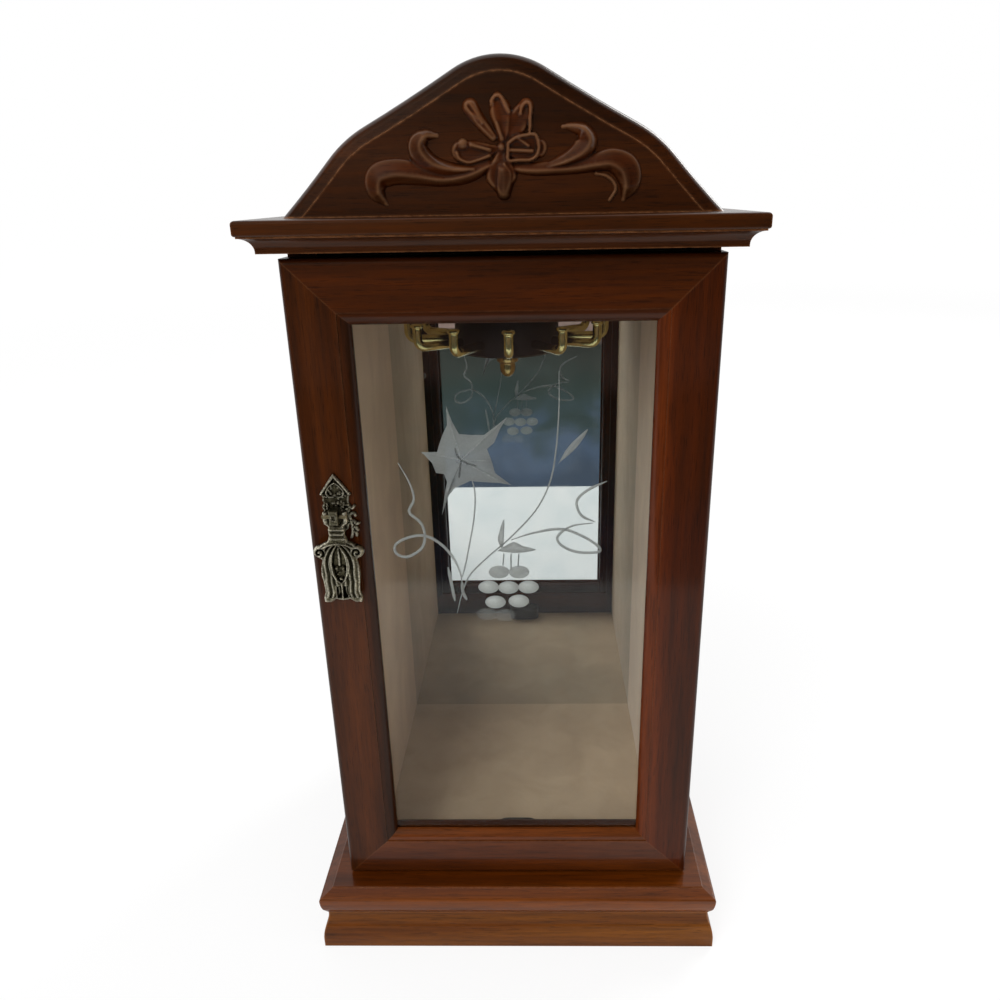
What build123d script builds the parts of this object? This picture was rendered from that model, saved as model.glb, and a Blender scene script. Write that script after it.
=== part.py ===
from build123d import *
from math import atan2, cos, degrees, radians, sin
import os

# A glazed jewellery cabinet with a hanging necklace carousel.
# Millimetres. X is the width, Y runs from the door at -Y to the back at +Y, Z is up from the floor.
# The origin is the middle of the footprint, at floor level.

# Closed box: the case with its door shut
box_width = 150.0
case_depth = 118.0
case_height = 269.0
side_thickness = 10.0
back_thickness = 4.0
back_rabbet = 5.0
mirror_thickness = 3.0
housing_depth = 3.0

# Base: a routed board on four mitred plinth mouldings
plinth_height = 17.3
plinth_foot_overhang = 11.8
plinth_neck_overhang = 9.1
plinth_foot_height = 4.0
plinth_wall = 11.3
plinth_cove_split = 0.6
base_board_thickness = 12.2
base_overhang = 11.8
base_flat_overhang = 6.4
base_step = 0.5
nose_drop = 3.2
nose_height = 5.8
nose_tuck = 0.9
nose_top_round = 0.9
bottom_panel_thickness = 3.0
felt_thickness = 1.0
panel_rabbet = 5.0
glue_block_side = 12.0

# Crown board and pediment
crown_thickness = 10.5
crown_overhang = 10.2
fascia_height = 5.5
fascia_top_round = 1.2
fascia_low_round = 0.6
cove_radius = 4.3
cove_fillet = 0.8
pediment_length = 150.4
pediment_thickness = 14.0
pediment_setback = 9.0
apex_radius = 30.0
apex_turn = 30.5
dip_run = 29.8
dip_slope = 27.2
shoulder_radius = 44.0
shoulder_slope = 48.0
foot_slope = 44.3
ovolo_width = 3.2
ovolo_depth = 3.6
strip_width = 2.0
strip_step = 0.7
strip_fall = 0.4
pediment_tenon = 6.0
pediment_tenon_inset = 14.0
cutter_margin = 1.0

# Door: a mitred frame, its pane and the strips behind the pane
door_thickness = 12.5
door_seam = 0.5
door_gap_bottom = 1.2
door_gap_top = 2.0
frame_width = 22.3
frame_round = 2.0
bead_width = 4.3
bead_quirk = 0.5
bead_lip = 0.9
glass_setback = 4.0
glass_thickness = 2.0
glass_rabbet = 6.0
glazing_strip_width = 5.0
glazing_strip_depth = 5.5
glazing_strip_round = 3.0

# Linings of covered card
wall_card = 2.4
floor_card = 2.7
ceiling_card = 2.4
card_setback = 1.0
card_round = 0.8

# Hinges
hinge_height = 25.0
hinge_width = 9.2
hinge_leaf = 0.9
hinge_leaf_gap = 0.3
hinge_pin_diameter = 1.4
hinge_axis_out = 0.2
hinge_inset = 40.0
knuckle_gap = 0.15
knuckle_relief = 0.3

# Magnetic catch
catch_width = 20.0
catch_depth = 10.0
catch_height = 8.0
catch_setback = 1.5
catch_chamfer = 1.0
magnet_width = 11.0
magnet_depth = 4.0
magnet_height = 5.0
magnet_proud = 0.3
strike_diameter = 9.0
strike_thickness = 0.8

# Necklace carousel: at rest it is turned a little, and its axle stands a little left of the middle
carousel_x = -1.6
carousel_y = 3.0
carousel_turn = 3.0
disc_radius = 22.0
disc_thickness = 16.0
disc_chamfer = 0.8
hook_count = 12
hook_sides = 8
hook_wire = 3.7
hook_reach = 41.7
hook_bend = 3.0
hook_arm_height = 5.1
hook_rise = 9.6
hook_seat = 5.0
hook_head = 5.2
hook_head_height = 2.8
hook_rim_height = 1.3
hook_cap = 3.0
axle_diameter = 4.0
axle_seat = 7.0
axle_end_gap = 0.5
spacer_length = 26.85
spacer_diameter = 22.0
spacer_waist = 9.0
spacer_collar = 14.0
spacer_end = 4.0
finial_length = 12.2
finial_neck = 6.6
finial_neck_length = 1.6
finial_diameter = 9.2
finial_collar = 3.6
finial_cup = 6.2
finial_cup_length = 3.4
finial_tip = 1.8
finial_bore = 6.0

# Drop pull on the left stile; its outlines are drawn in percent of the drop's and the plate's length
pull_inset = 11.5
pull_pivot_rise = 175.3
pull_pivot_out = 5.0
plate_thickness = 1.2
plate_length = 24.5
gable_relief = 0.7
post_width = 3.3
post_height = 5.5
post_front = 2.3
post_chamfer = 0.6
pull_pin_diameter = 1.6
pendant_length = 35.5
pendant_thickness = 2.6
yoke_half_width = 4.6
yoke_thickness = 3.2
volute_radius = 2.2
volute_thickness = 3.4
volute_out = 7.3
volute_down = 14.4
boss_relief = 0.7

# Carving on the pediment; its outlines are drawn in percent of its span
carving_height = 21.0
carving_span = 90.0
branch_rise = 2.0
petal_rise = 2.4
petal_taper = 28.0
petal_length = 15.5
petal_width = 8.2
petal_angles = (92, 53, 2, -88, 178, 132)
boss_diameter = 5.0
boss_rise = 3.2

# Fits
glue_fit = 0.02
running_fit = 0.05
slip_gap = 0.2
end_play = 0.05

# Levels and planes that follow from the sizes above
base_top = plinth_height + base_board_thickness
case_top = base_top + case_height
crown_top = case_top + crown_thickness
box_depth = door_thickness + door_seam + case_depth
door_front = -box_depth / 2
door_back = door_front + door_thickness
case_front = door_back + door_seam
case_back_face = box_depth / 2
mirror_back = case_back_face - back_thickness
mirror_front = mirror_back - mirror_thickness
inner_half = box_width / 2 - side_thickness
door_bottom = base_top + door_gap_bottom
door_top = case_top - door_gap_top
door_height = door_top - door_bottom
floor_top = base_top + floor_card
ceiling_bottom = case_top - ceiling_card
card_front = case_front + card_setback
hinge_axis_x = box_width / 2 + hinge_axis_out
hinge_axis_y = door_back + door_seam / 2
knuckle_radius = hinge_pin_diameter / 2 + running_fit + hinge_leaf
hinge_centres = (door_bottom + hinge_inset, door_top - hinge_inset)
strike_z = floor_top + catch_height / 2
pull_x = pull_inset - box_width / 2
pull_pivot_z = door_bottom + pull_pivot_rise
pull_pivot_y = door_front - pull_pivot_out
disc_top_z = ceiling_bottom - spacer_length - end_play
disc_bottom_z = disc_top_z - disc_thickness
pediment_front = door_front + pediment_setback
pediment_middle = pediment_front + pediment_thickness / 2


def block(x, y, z):
    """A box between the two limits given for each axis."""
    size = [high - low for low, high in (x, y, z)]
    centre = [(low + high) / 2 for low, high in (x, y, z)]
    return Pos(*centre) * Box(*size)


def rod(radius, low, high, x=0.0, y=0.0):
    """An upright round bar between two heights."""
    return Pos(x, y, (low + high) / 2) * Cylinder(radius, high - low)


def turned(*edges):
    """A turned piece: its half section, drawn as radius and height, spun about Z."""
    return revolve(make_face(Plane.XZ * (Curve() + list(edges))), Axis.Z)


def slab(drawing, low, high):
    """A flat drawing made solid between two distances along its normal."""
    return Pos(0, 0, low) * extrude(drawing, high - low, dir=(0, 0, 1))


def moulded_board(edge, bottom):
    """A board under or over the case whose four sides carry the same edge, mitred at the corners.

    The edge runs from the underside to the top as distance out from the closed box, and height.
    """
    def section(half):
        right = Pos(half, 0) * edge
        left = mirror(right, Plane.YZ)
        return make_face(right + left + Line(left @ 0, right @ 0) + Line(left @ 1, right @ 1))

    reach = box_width + box_depth
    across = extrude(Plane.XZ * section(box_width / 2), reach, both=True)
    along = extrude(Plane.YZ * section(box_depth / 2), reach, both=True)
    return Pos(0, 0, bottom) * (across & along)


# Base


def base_board_edge():
    """From the neck out to the nose, round it, and in over the shallow slope to the flat top."""
    top = base_board_thickness
    nose = Vector(base_overhang, top - nose_drop)
    tuck = Vector(base_overhang - nose_tuck, top - nose_drop - nose_height)
    slope_start = Vector(base_overhang - nose_top_round, nose.Y + nose_top_round)
    slope_end = Vector(base_flat_overhang + base_step, top - base_step)
    return Curve() + [
        Line((plinth_neck_overhang, 0), tuck),
        TangentArc(nose, tuck, tangent=(0, -1)),
        TangentArc(nose, slope_start, tangent=(0, 1)),
        Line(slope_start, slope_end),
        TangentArc((base_flat_overhang, top), slope_end, tangent=(1, 0)),
    ]


def base_board():
    return moulded_board(base_board_edge(), plinth_height) - side_housings(base_top - housing_depth)


def plinth_section():
    """Moulding seen from its end: a flared foot outside, a rabbet for the bottom panel inside."""
    flare = plinth_foot_overhang - plinth_neck_overhang
    middle_out = plinth_neck_overhang + flare * plinth_cove_split
    middle = Vector(middle_out, (plinth_height + plinth_foot_height) / 2)
    foot = Vector(plinth_foot_overhang, plinth_foot_height)
    neck = Vector(plinth_neck_overhang, plinth_height)
    inner = plinth_neck_overhang - plinth_wall
    panel_top = felt_thickness + bottom_panel_thickness
    outer = [
        Line((plinth_foot_overhang, 0), foot),
        TangentArc(foot, middle, tangent=(0, 1)),
        TangentArc(neck, middle, tangent=(0, -1)),
    ]
    inside = Polyline(
        neck, (inner, plinth_height), (inner, panel_top), (inner + panel_rabbet, panel_top),
        (inner + panel_rabbet, 0), (plinth_foot_overhang, 0),
    )
    return make_face(Curve() + outer + [inside])


def plinth_strip(width, depth):
    """The strip in front of a box of this width and depth, its ends cut to 45 degrees."""
    reach = width / 2 + plinth_foot_overhang
    front = depth / 2 + plinth_foot_overhang
    strip = extrude(Plane.YZ * Pos(depth / 2, 0) * plinth_section(), reach, both=True)
    mitre = Polyline((0, front - reach), (reach, front), (-reach, front), close=True)
    return strip & extrude(make_face(mitre), plinth_height)


def glue_blocks():
    """Square blocks in the four inner corners of the plinth, under the base board."""
    inner = plinth_neck_overhang - plinth_wall
    x = box_width / 2 + inner - glue_block_side / 2
    y = box_depth / 2 + inner - glue_block_side / 2
    low = felt_thickness + bottom_panel_thickness
    height = plinth_height - low
    return [
        Pos(sx * x, sy * y, low + height / 2) * Box(glue_block_side, glue_block_side, height)
        for sx in (-1, 1) for sy in (-1, 1)
    ]


def bottom_sheet(low, high):
    """A sheet let into the rabbets on the underside of the plinth."""
    out = plinth_neck_overhang - plinth_wall + panel_rabbet - slip_gap
    half_x = box_width / 2 + out
    half_y = box_depth / 2 + out
    return block((-half_x, half_x), (-half_y, half_y), (low, high))


# Case


def side_plan():
    """Limits of the right side board, across and along the case."""
    return (inner_half, box_width / 2), (case_front, case_back_face)


def side_housings(low):
    """Two shallow grooves that take the ends of the side boards."""
    x, y = side_plan()
    groove = block(x, y, (low, low + housing_depth))
    return [groove, mirror(groove, Plane.YZ)]


def case_side(side):
    """Side board with a rabbet for the back panel; side is -1 for the left and 1 for the right."""
    x, y = side_plan()
    board = block(x, y, (base_top - housing_depth, case_top + housing_depth))
    board -= block((inner_half, inner_half + back_rabbet), (mirror_back, case_back_face),
                   (base_top - housing_depth, case_top + housing_depth))
    if side < 0:
        return mirror(board, Plane.YZ)
    return board - [hinge_recess(1, z) for z in hinge_centres]


def case_back():
    """Panel glued into the rabbets of the sides, behind the mirror."""
    half = inner_half + back_rabbet - slip_gap
    return block((-half, half), (mirror_back, case_back_face), (base_top, case_top))


def mirror_pane():
    half = inner_half - slip_gap
    return block((-half, half), (mirror_front, mirror_back), (base_top, case_top - slip_gap))


def lining_wall(side):
    """Covered card along one side wall, its front edge rounded over."""
    wall = block((inner_half - wall_card, inner_half), (card_front, mirror_front),
                 (floor_top, ceiling_bottom))
    edge = wall.edges().filter_by(Axis.Z).group_by(Axis.Y)[0].sort_by(Axis.X)[0]
    wall = fillet(edge, card_round)
    return wall if side > 0 else mirror(wall, Plane.YZ)


def lining_floor():
    card = block((-inner_half, inner_half), (card_front, mirror_front), (base_top, floor_top))
    edge = card.edges().filter_by(Axis.X).group_by(Axis.Y)[0].sort_by(Axis.Z)[-1]
    return fillet(edge, card_round)


def lining_ceiling():
    card = block((-inner_half, inner_half), (card_front, mirror_front), (ceiling_bottom, case_top))
    hole = rod(axle_diameter / 2 + slip_gap, ceiling_bottom, case_top, carousel_x, carousel_y)
    edge = card.edges().filter_by(Axis.X).group_by(Axis.Y)[0].sort_by(Axis.Z)[0]
    return fillet(edge, card_round) - hole


# Crown board and pediment


def crown_edge():
    """From the underside: a small foot, a quarter-round cove, a fillet line, then the upright fascia."""
    top = crown_thickness
    cove_top = top - fascia_height
    cove_out = crown_overhang - cove_fillet
    neck = cove_out - cove_radius
    cove_start = Vector(neck, cove_top - cove_radius)
    cove_end = Vector(cove_out, cove_top)
    round_start = Vector(cove_out, cove_top + fascia_low_round)
    fascia_low = Vector(crown_overhang, round_start.Y + cove_fillet)
    fascia_high = Vector(crown_overhang, top - fascia_top_round)
    return Curve() + [
        Line((neck, 0), cove_start),
        TangentArc(cove_start, cove_end, tangent=(0, 1)),
        Line(cove_end, round_start),
        TangentArc(fascia_low, round_start, tangent=(0, -1)),
        Line(fascia_low, fascia_high),
        TangentArc(fascia_high, (crown_overhang - fascia_top_round, top), tangent=(0, 1)),
    ]


def pediment_tenon_block():
    """Stub tenon along the pediment's foot, let into the top of the crown board."""
    half = pediment_length / 2 - pediment_tenon_inset
    return block((-half, half),
                 (pediment_middle - pediment_tenon / 2, pediment_middle + pediment_tenon / 2),
                 (crown_top - housing_depth, crown_top))


def crown_board():
    board = moulded_board(crown_edge(), case_top)
    return board - side_housings(case_top) - pediment_tenon_block() - axle_hole()


def pediment_line():
    """Right half of the pediment's upper edge, as tangent arcs from the apex to the foot.

    The apex is rounded, a long dip leads to the shoulder, and a slightly hollow run ends at the foot.
    Drawn with its foot on z=0.
    """
    dip_radius = dip_run / (sin(radians(apex_turn)) - sin(radians(dip_slope)))
    shoulder_run = shoulder_radius * (sin(radians(shoulder_slope)) - sin(radians(dip_slope)))
    foot_run = pediment_length / 2 - apex_radius * sin(radians(apex_turn)) - dip_run - shoulder_run
    foot_radius = foot_run / (sin(radians(shoulder_slope)) - sin(radians(foot_slope)))
    arcs = [JernArc((0, 0), (1, 0), apex_radius, -apex_turn)]
    for radius, turn in (
        (dip_radius, apex_turn - dip_slope),
        (shoulder_radius, dip_slope - shoulder_slope),
        (foot_radius, shoulder_slope - foot_slope),
    ):
        arcs.append(JernArc(arcs[-1] @ 1, arcs[-1] % 1, radius, turn))
    overrun = Line(arcs[-1] @ 1, arcs[-1] @ 1 + (arcs[-1] % 1) * ovolo_width * 2)
    return Pos(0, -(arcs[-1] @ 1).Y) * (Curve() + arcs + [overrun])


def pediment_board():
    """Serpentine board with a moulded upper edge: a strip below the field, then an ovolo."""
    right = pediment_line()
    left = mirror(right, Plane.YZ)
    face = make_face(right + left + Line(left @ 1, right @ 1))
    drawing = Plane((0, pediment_front, crown_top), x_dir=(1, 0, 0), z_dir=(0, -1, 0))
    board = extrude(drawing * face, -pediment_thickness)
    path = Wire((drawing * (right + left)).edges())
    inward = Vector(0, 1, 0).cross(path % 0)
    if inward.Z > 0:
        inward = -inward
    section = Plane(path @ 0, x_dir=inward, z_dir=inward.cross(Vector(0, 1, 0)))
    inner = ovolo_width + strip_width
    fall = strip_step + strip_fall
    cut = make_face(Curve() + [
        Polyline(
            (ovolo_width, fall), (inner, strip_step), (inner, -cutter_margin),
            (-cutter_margin, -cutter_margin), (-cutter_margin, ovolo_depth + fall),
            (0, ovolo_depth + fall),
        ),
        TangentArc((0, ovolo_depth + fall), (ovolo_width, fall), tangent=(0, -1)),
    ])
    board -= sweep(section * cut, path=path)
    below = Pos(0, pediment_middle, crown_top - pediment_length / 2) * Box(
        2 * pediment_length, 2 * pediment_thickness, pediment_length)
    return board - below + pediment_tenon_block()


def axle_hole():
    depth = axle_seat + axle_end_gap
    return rod(axle_diameter / 2 + glue_fit, case_top, case_top + depth, carousel_x, carousel_y)


# Door


def frame_section():
    """One frame member seen from its end: distance in from the outer edge, and depth from the front."""
    flat = frame_width - bead_width
    bead_foot = glass_setback - bead_lip
    rabbet = frame_width - glass_rabbet
    front = [
        TangentArc((0, frame_round), (frame_round, 0), tangent=(0, -1)),
        Line((frame_round, 0), (flat, 0)),
        Line((flat, 0), (flat, bead_quirk)),
        TangentArc((flat, bead_quirk), (frame_width, bead_foot), tangent=(1, 0)),
    ]
    back = Polyline(
        (frame_width, bead_foot), (frame_width, glass_setback), (rabbet, glass_setback),
        (rabbet, door_thickness), (0, door_thickness), (0, frame_round),
    )
    return make_face(Curve() + front + [back])


def mitred_member(length, place):
    """A frame member of this outer length; its outer edge lies on the place's X axis."""
    bar = extrude(Plane.YZ * frame_section(), length, both=True)
    half = length / 2
    mitre = Polyline((-half, 0), (half, 0), (half - frame_width, frame_width),
                     (frame_width - half, frame_width), close=True)
    return place * (bar & extrude(make_face(mitre), door_thickness))


def door_place(x, z, along):
    """A plane on the door's front with its Z axis pointing to the back."""
    return Plane((x, door_front, z), x_dir=along, z_dir=(0, 1, 0))


def door_stile_left():
    middle = (door_bottom + door_top) / 2
    return mitred_member(door_height, door_place(-box_width / 2, middle, (0, 0, 1)))


def door_stile_right():
    middle = (door_bottom + door_top) / 2
    stile = mitred_member(door_height, door_place(box_width / 2, middle, (0, 0, -1)))
    return stile - [hinge_recess(-1, z) for z in hinge_centres]


def door_rail_top():
    return mitred_member(box_width, door_place(0, door_top, (1, 0, 0)))


def door_rail_bottom():
    return mitred_member(box_width, door_place(0, door_bottom, (-1, 0, 0)))


def rabbet_limits(clearance):
    """Half width, and low and high level, of the recess behind the glass."""
    inset = frame_width - glass_rabbet + clearance
    return box_width / 2 - inset, door_bottom + inset, door_top - inset


def door_glass():
    half, low, high = rabbet_limits(slip_gap)
    front = door_front + glass_setback
    return block((-half, half), (front, front + glass_thickness), (low, high))


def glazing_section():
    """Quarter-round strip: distance from the rabbet's wall, and depth behind the glass."""
    outline = Polyline((0, 0), (glazing_strip_width, 0), (glazing_strip_width, glazing_strip_depth),
                       (0, glazing_strip_depth), close=True)
    face = make_face(outline)
    corner = face.vertices().group_by(Axis.X)[-1].sort_by(Axis.Y)[-1]
    return fillet(corner, glazing_strip_round)


def glazing_strip(length, place):
    return place * extrude(Plane.YZ * glazing_section(), length / 2, both=True)


def glazing_place(x, z, along):
    back_of_glass = door_front + glass_setback + glass_thickness
    return Plane((x, back_of_glass, z), x_dir=along, z_dir=(0, 1, 0))


def glazing_beads_side():
    half, low, high = rabbet_limits(0)
    middle = (low + high) / 2
    return [
        glazing_strip(high - low, glazing_place(-half, middle, (0, 0, 1))),
        glazing_strip(high - low, glazing_place(half, middle, (0, 0, -1))),
    ]


def glazing_beads_end():
    half, low, high = rabbet_limits(0)
    length = 2 * (half - glazing_strip_width)
    return [
        glazing_strip(length, glazing_place(0, low, (-1, 0, 0))),
        glazing_strip(length, glazing_place(0, high, (1, 0, 0))),
    ]


# Hinges: on each, the case's leaf has the two outer knuckles and the door's leaf the middle one


def knuckle_ranges(side, centre):
    """Height ranges of the knuckles on one leaf; side is -1 for the door and 1 for the case."""
    low = centre - hinge_height / 2
    length = (hinge_height - 2 * knuckle_gap) / 3
    ranges = [(low + i * (length + knuckle_gap), low + i * (length + knuckle_gap) + length)
              for i in range(3)]
    return ranges[1:2] if side < 0 else ranges[::2]


def hinge_faces(side):
    """The leaf's inner and outer face, towards the other leaf and into the wood."""
    inner = hinge_axis_y + side * hinge_leaf_gap / 2
    return inner, inner + side * hinge_leaf


def hinge_leaf_plate(side, centre):
    faces = sorted(hinge_faces(side))
    low = centre - hinge_height / 2
    high = centre + hinge_height / 2
    plate = block((hinge_axis_x - hinge_width, hinge_axis_x), faces, (low, high))
    plate -= [
        rod(knuckle_radius + knuckle_gap, start - knuckle_gap, end + knuckle_gap, hinge_axis_x, hinge_axis_y)
        for start, end in knuckle_ranges(-side, centre)
    ]
    plate += [rod(knuckle_radius, start, end, hinge_axis_x, hinge_axis_y)
              for start, end in knuckle_ranges(side, centre)]
    bore = rod(hinge_pin_diameter / 2 + running_fit, low, high, hinge_axis_x, hinge_axis_y)
    return plate - bore


def hinge_leaves(side):
    return [hinge_leaf_plate(side, centre) for centre in hinge_centres]


def hinge_pins():
    return [
        rod(hinge_pin_diameter / 2, z - hinge_height / 2, z + hinge_height / 2, hinge_axis_x, hinge_axis_y)
        for z in hinge_centres
    ]


def hinge_recess(side, centre):
    """Cut in the wood for one leaf and the knuckles."""
    _, outer = hinge_faces(side)
    wood = case_front if side > 0 else door_back
    low = centre - hinge_height / 2
    high = centre + hinge_height / 2
    pocket = block((hinge_axis_x - hinge_width - slip_gap, hinge_axis_x + slip_gap),
                   sorted((wood, outer)), (low - slip_gap, high + slip_gap))
    relief = rod(knuckle_radius + knuckle_relief, low - knuckle_relief, high + knuckle_relief,
                 hinge_axis_x, hinge_axis_y)
    return Part() + [pocket, relief]


# Magnetic catch


def catch_housing():
    """Round-ended block on the floor card with the magnet's pocket in its front."""
    y = case_front + catch_setback + catch_depth / 2
    body = extrude(SlotOverall(catch_width, catch_depth), catch_height)
    body = chamfer(body.faces().sort_by(Axis.Z)[-1].edges(), catch_chamfer)
    return Pos(0, y, floor_top) * body - catch_magnet(slip_gap / 2)


def catch_magnet(fit=0.0):
    front = case_front + catch_setback - magnet_proud
    half = magnet_width / 2 + fit
    half_height = magnet_height / 2 + fit
    levels = (strike_z - half_height, strike_z + half_height)
    return block((-half, half), (front, front + magnet_depth), levels)


def door_strike():
    """Steel button on the back of the bottom rail, just in front of the magnet."""
    button = slab(Circle(strike_diameter / 2), 0, strike_thickness)
    return Plane((0, door_back, strike_z), z_dir=(0, 1, 0)) * button


# Necklace carousel


def carousel_axle():
    low = disc_bottom_z - finial_bore
    return rod(axle_diameter / 2, low, case_top + axle_seat, carousel_x, carousel_y)


def carousel_spacer():
    """Turned post between the ceiling card and the disc, waisted between two collars."""
    low = disc_top_z + end_play
    bore = axle_diameter / 2 + glue_fit
    foot = spacer_collar / 2
    waist = spacer_waist / 2
    top = spacer_diameter / 2
    high = low + spacer_length
    post = turned(Polyline(
        (bore, low), (foot, low), (foot, low + spacer_end), (waist, low + 2 * spacer_end),
        (waist, high - 2 * spacer_end), (top, high - spacer_end), (top, high), (bore, high), close=True,
    ))
    return Pos(carousel_x, carousel_y, 0) * post


def carousel_finial():
    """Acorn nut under the disc: neck, knurled collar, cup and blunt end, bored for the axle."""
    top = disc_bottom_z - end_play
    neck = finial_neck / 2
    collar = finial_diameter / 2
    cup = finial_cup / 2
    neck_end = top - finial_neck_length
    collar_end = neck_end - finial_collar
    nut = turned(Polyline(
        (0, top), (neck, top), (neck, neck_end), (collar, neck_end), (collar, collar_end),
        (cup, collar_end - finial_cup_length), (finial_tip / 2, top - finial_length),
        (0, top - finial_length), close=True,
    ))
    bore = rod(axle_diameter / 2 + glue_fit, disc_bottom_z - finial_bore - glue_fit, top)
    return Pos(carousel_x, carousel_y, 0) * (nut - bore)


def carousel_disc():
    disc = rod(disc_radius, disc_bottom_z, disc_top_z)
    disc = chamfer(disc.edges().filter_by(GeomType.CIRCLE), disc_chamfer)
    disc -= rod(axle_diameter / 2 + running_fit, disc_bottom_z, disc_top_z)
    disc = Pos(carousel_x, carousel_y, 0) * disc
    return disc - [hook_hole(i) for i in range(hook_count)]


def hook_place(index):
    """Plane through the hook with X pointing out along its arm; hook 0 points to the front."""
    angle = radians(index * 360 / hook_count - 90 + carousel_turn)
    out = Vector(cos(angle), sin(angle), 0)
    centre = (carousel_x, carousel_y, disc_bottom_z + hook_arm_height)
    return Plane(centre, x_dir=out, z_dir=(0, 0, 1))


def wire_section(start, fit=0.0):
    """The wire's section across its arm; a few flat sides stand for its round, as it repeats so often."""
    return Plane((start, 0, 0), z_dir=(1, 0, 0)) * RegularPolygon(hook_wire / 2 + fit, hook_sides)


def hook_cone(end_size, height):
    """Flat-sided cone from the head's rim up to a narrower end."""
    narrowing = (hook_head - end_size) / 2 * cos(radians(180 / hook_sides))
    return extrude(RegularPolygon(hook_head / 2, hook_sides), height, taper=degrees(atan2(narrowing, height)))


def hook_hole(index):
    start = disc_radius - hook_seat - glue_fit
    return hook_place(index) * extrude(wire_section(start, glue_fit), disc_radius)


def carousel_hook(index):
    """Bent wire that runs out of the disc and up to a flared, capped head."""
    start = disc_radius - hook_seat
    top = hook_rise - hook_head_height
    path = Plane.XZ * Polyline((start, 0), (hook_reach - hook_bend, 0), (hook_reach, hook_bend),
                               (hook_reach, top))
    wire = sweep(wire_section(start), path=path, transition=Transition.RIGHT)
    flare = Rot(180, 0, 0) * hook_cone(hook_wire, hook_rim_height)
    cap = hook_cone(hook_cap, hook_head_height - hook_rim_height)
    return hook_place(index) * (wire + Pos(hook_reach, 0, top + hook_rim_height) * (flare + cap))


# Drop pull


def pull_place(out):
    """Drawing plane in front of the left stile at the pull's pivot height; X is to the right."""
    return Plane((pull_x, door_front - out, pull_pivot_z), x_dir=(1, 0, 0), z_dir=(0, -1, 0))


def outline(points, whole):
    """A face from its corners, given in percent of a length."""
    return make_face(Polyline([(x * whole / 100, y * whole / 100) for x, y in points], close=True))


def doubled(face):
    """The face with its mirror image on the other side of the middle line."""
    return face + mirror(face, Plane.YZ)


def pull_backplate():
    """Cast plate with a gabled top, a narrower field and a pointed tail; the gable stands proud."""
    field = [(0, 63), (24, 29), (20, 25), (22, 0), (20, -20), (12, -33), (0, -37)]
    gable = [(0, 63), (24, 29), (17, 29), (0, 52)]
    plate = slab(doubled(outline(field, plate_length)), 0, plate_thickness)
    ridge = slab(doubled(outline(gable, plate_length)), plate_thickness, plate_thickness + gable_relief)
    return pull_place(0) * (plate + ridge)


def pull_post():
    """Square post on the plate, its front edges chamfered, crossed by the pin."""
    body = slab(Rectangle(post_width, post_height), plate_thickness, pull_pivot_out + post_front)
    body = chamfer(body.faces().sort_by(Axis.Z)[-1].edges(), post_chamfer)
    return pull_place(0) * body - pull_pin(glue_fit)


def pull_pin(fit=0.0):
    bar = Rot(0, 90, 0) * Cylinder(pull_pin_diameter / 2 + fit, 2 * yoke_half_width)
    return Pos(pull_x, pull_pivot_y, pull_pivot_z) * bar


def pull_pendant():
    """The drop: a yoke on the pin, a ringed neck, and a ribbed bell with volutes and flared feet."""
    yoke = [(0, -11.5), (5, -11), (7.6, -7), (7.6, 4.5), (13, 4.5), (13, -6), (9, -17), (10, -17), (10, -21),
            (9, -22), (9, -26), (0, -26)]
    bell = [(0, -26), (9, -26), (15, -32), (17, -38), (17, -48), (20, -60), (20.5, -69), (19, -82),
            (18.5, -90), (21, -96), (18, -100), (8, -97), (5, -94), (0, -94)]
    opening = [(1.5, -92), (6, -92), (6, -84), (1.5, -78)]
    lens = [(0, -33), (7, -43), (10, -55), (9, -67), (0, -77)]
    rib = [(10, -31), (15, -45), (17, -62), (16.5, -82), (13.5, -92), (15, -82), (15.5, -62), (13.5, -45)]
    front = pendant_thickness / 2
    body = slab(doubled(outline(bell, pendant_length)), -front, front)
    body += slab(doubled(outline(yoke, pendant_length)), -yoke_thickness / 2, yoke_thickness / 2)
    for shape in (lens, rib):
        body += slab(doubled(outline(shape, pendant_length)), front, front + boss_relief)
    body -= slab(doubled(outline(opening, pendant_length)), -front, front)
    volute = Pos(volute_out, -volute_down) * Circle(volute_radius)
    body += slab(doubled(volute), -volute_thickness / 2, volute_thickness / 2)
    return pull_place(pull_pivot_out) * body - pull_pin(running_fit)


# Carving: a six-petalled flower between two waved leaves, each with a curl above it


def petal(angle):
    """A petal with sloping sides; its outline runs counter-clockwise, so that it rises outwards."""
    half = petal_width / 2
    third = petal_length / 3
    corners = Polyline((0, 0), (third, -half), (2 * third, -half), (petal_length, 0), (2 * third, half),
                       (third, half), close=True)
    return Rot(0, 0, angle) * extrude(make_face(corners), petal_rise, taper=petal_taper)


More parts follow.
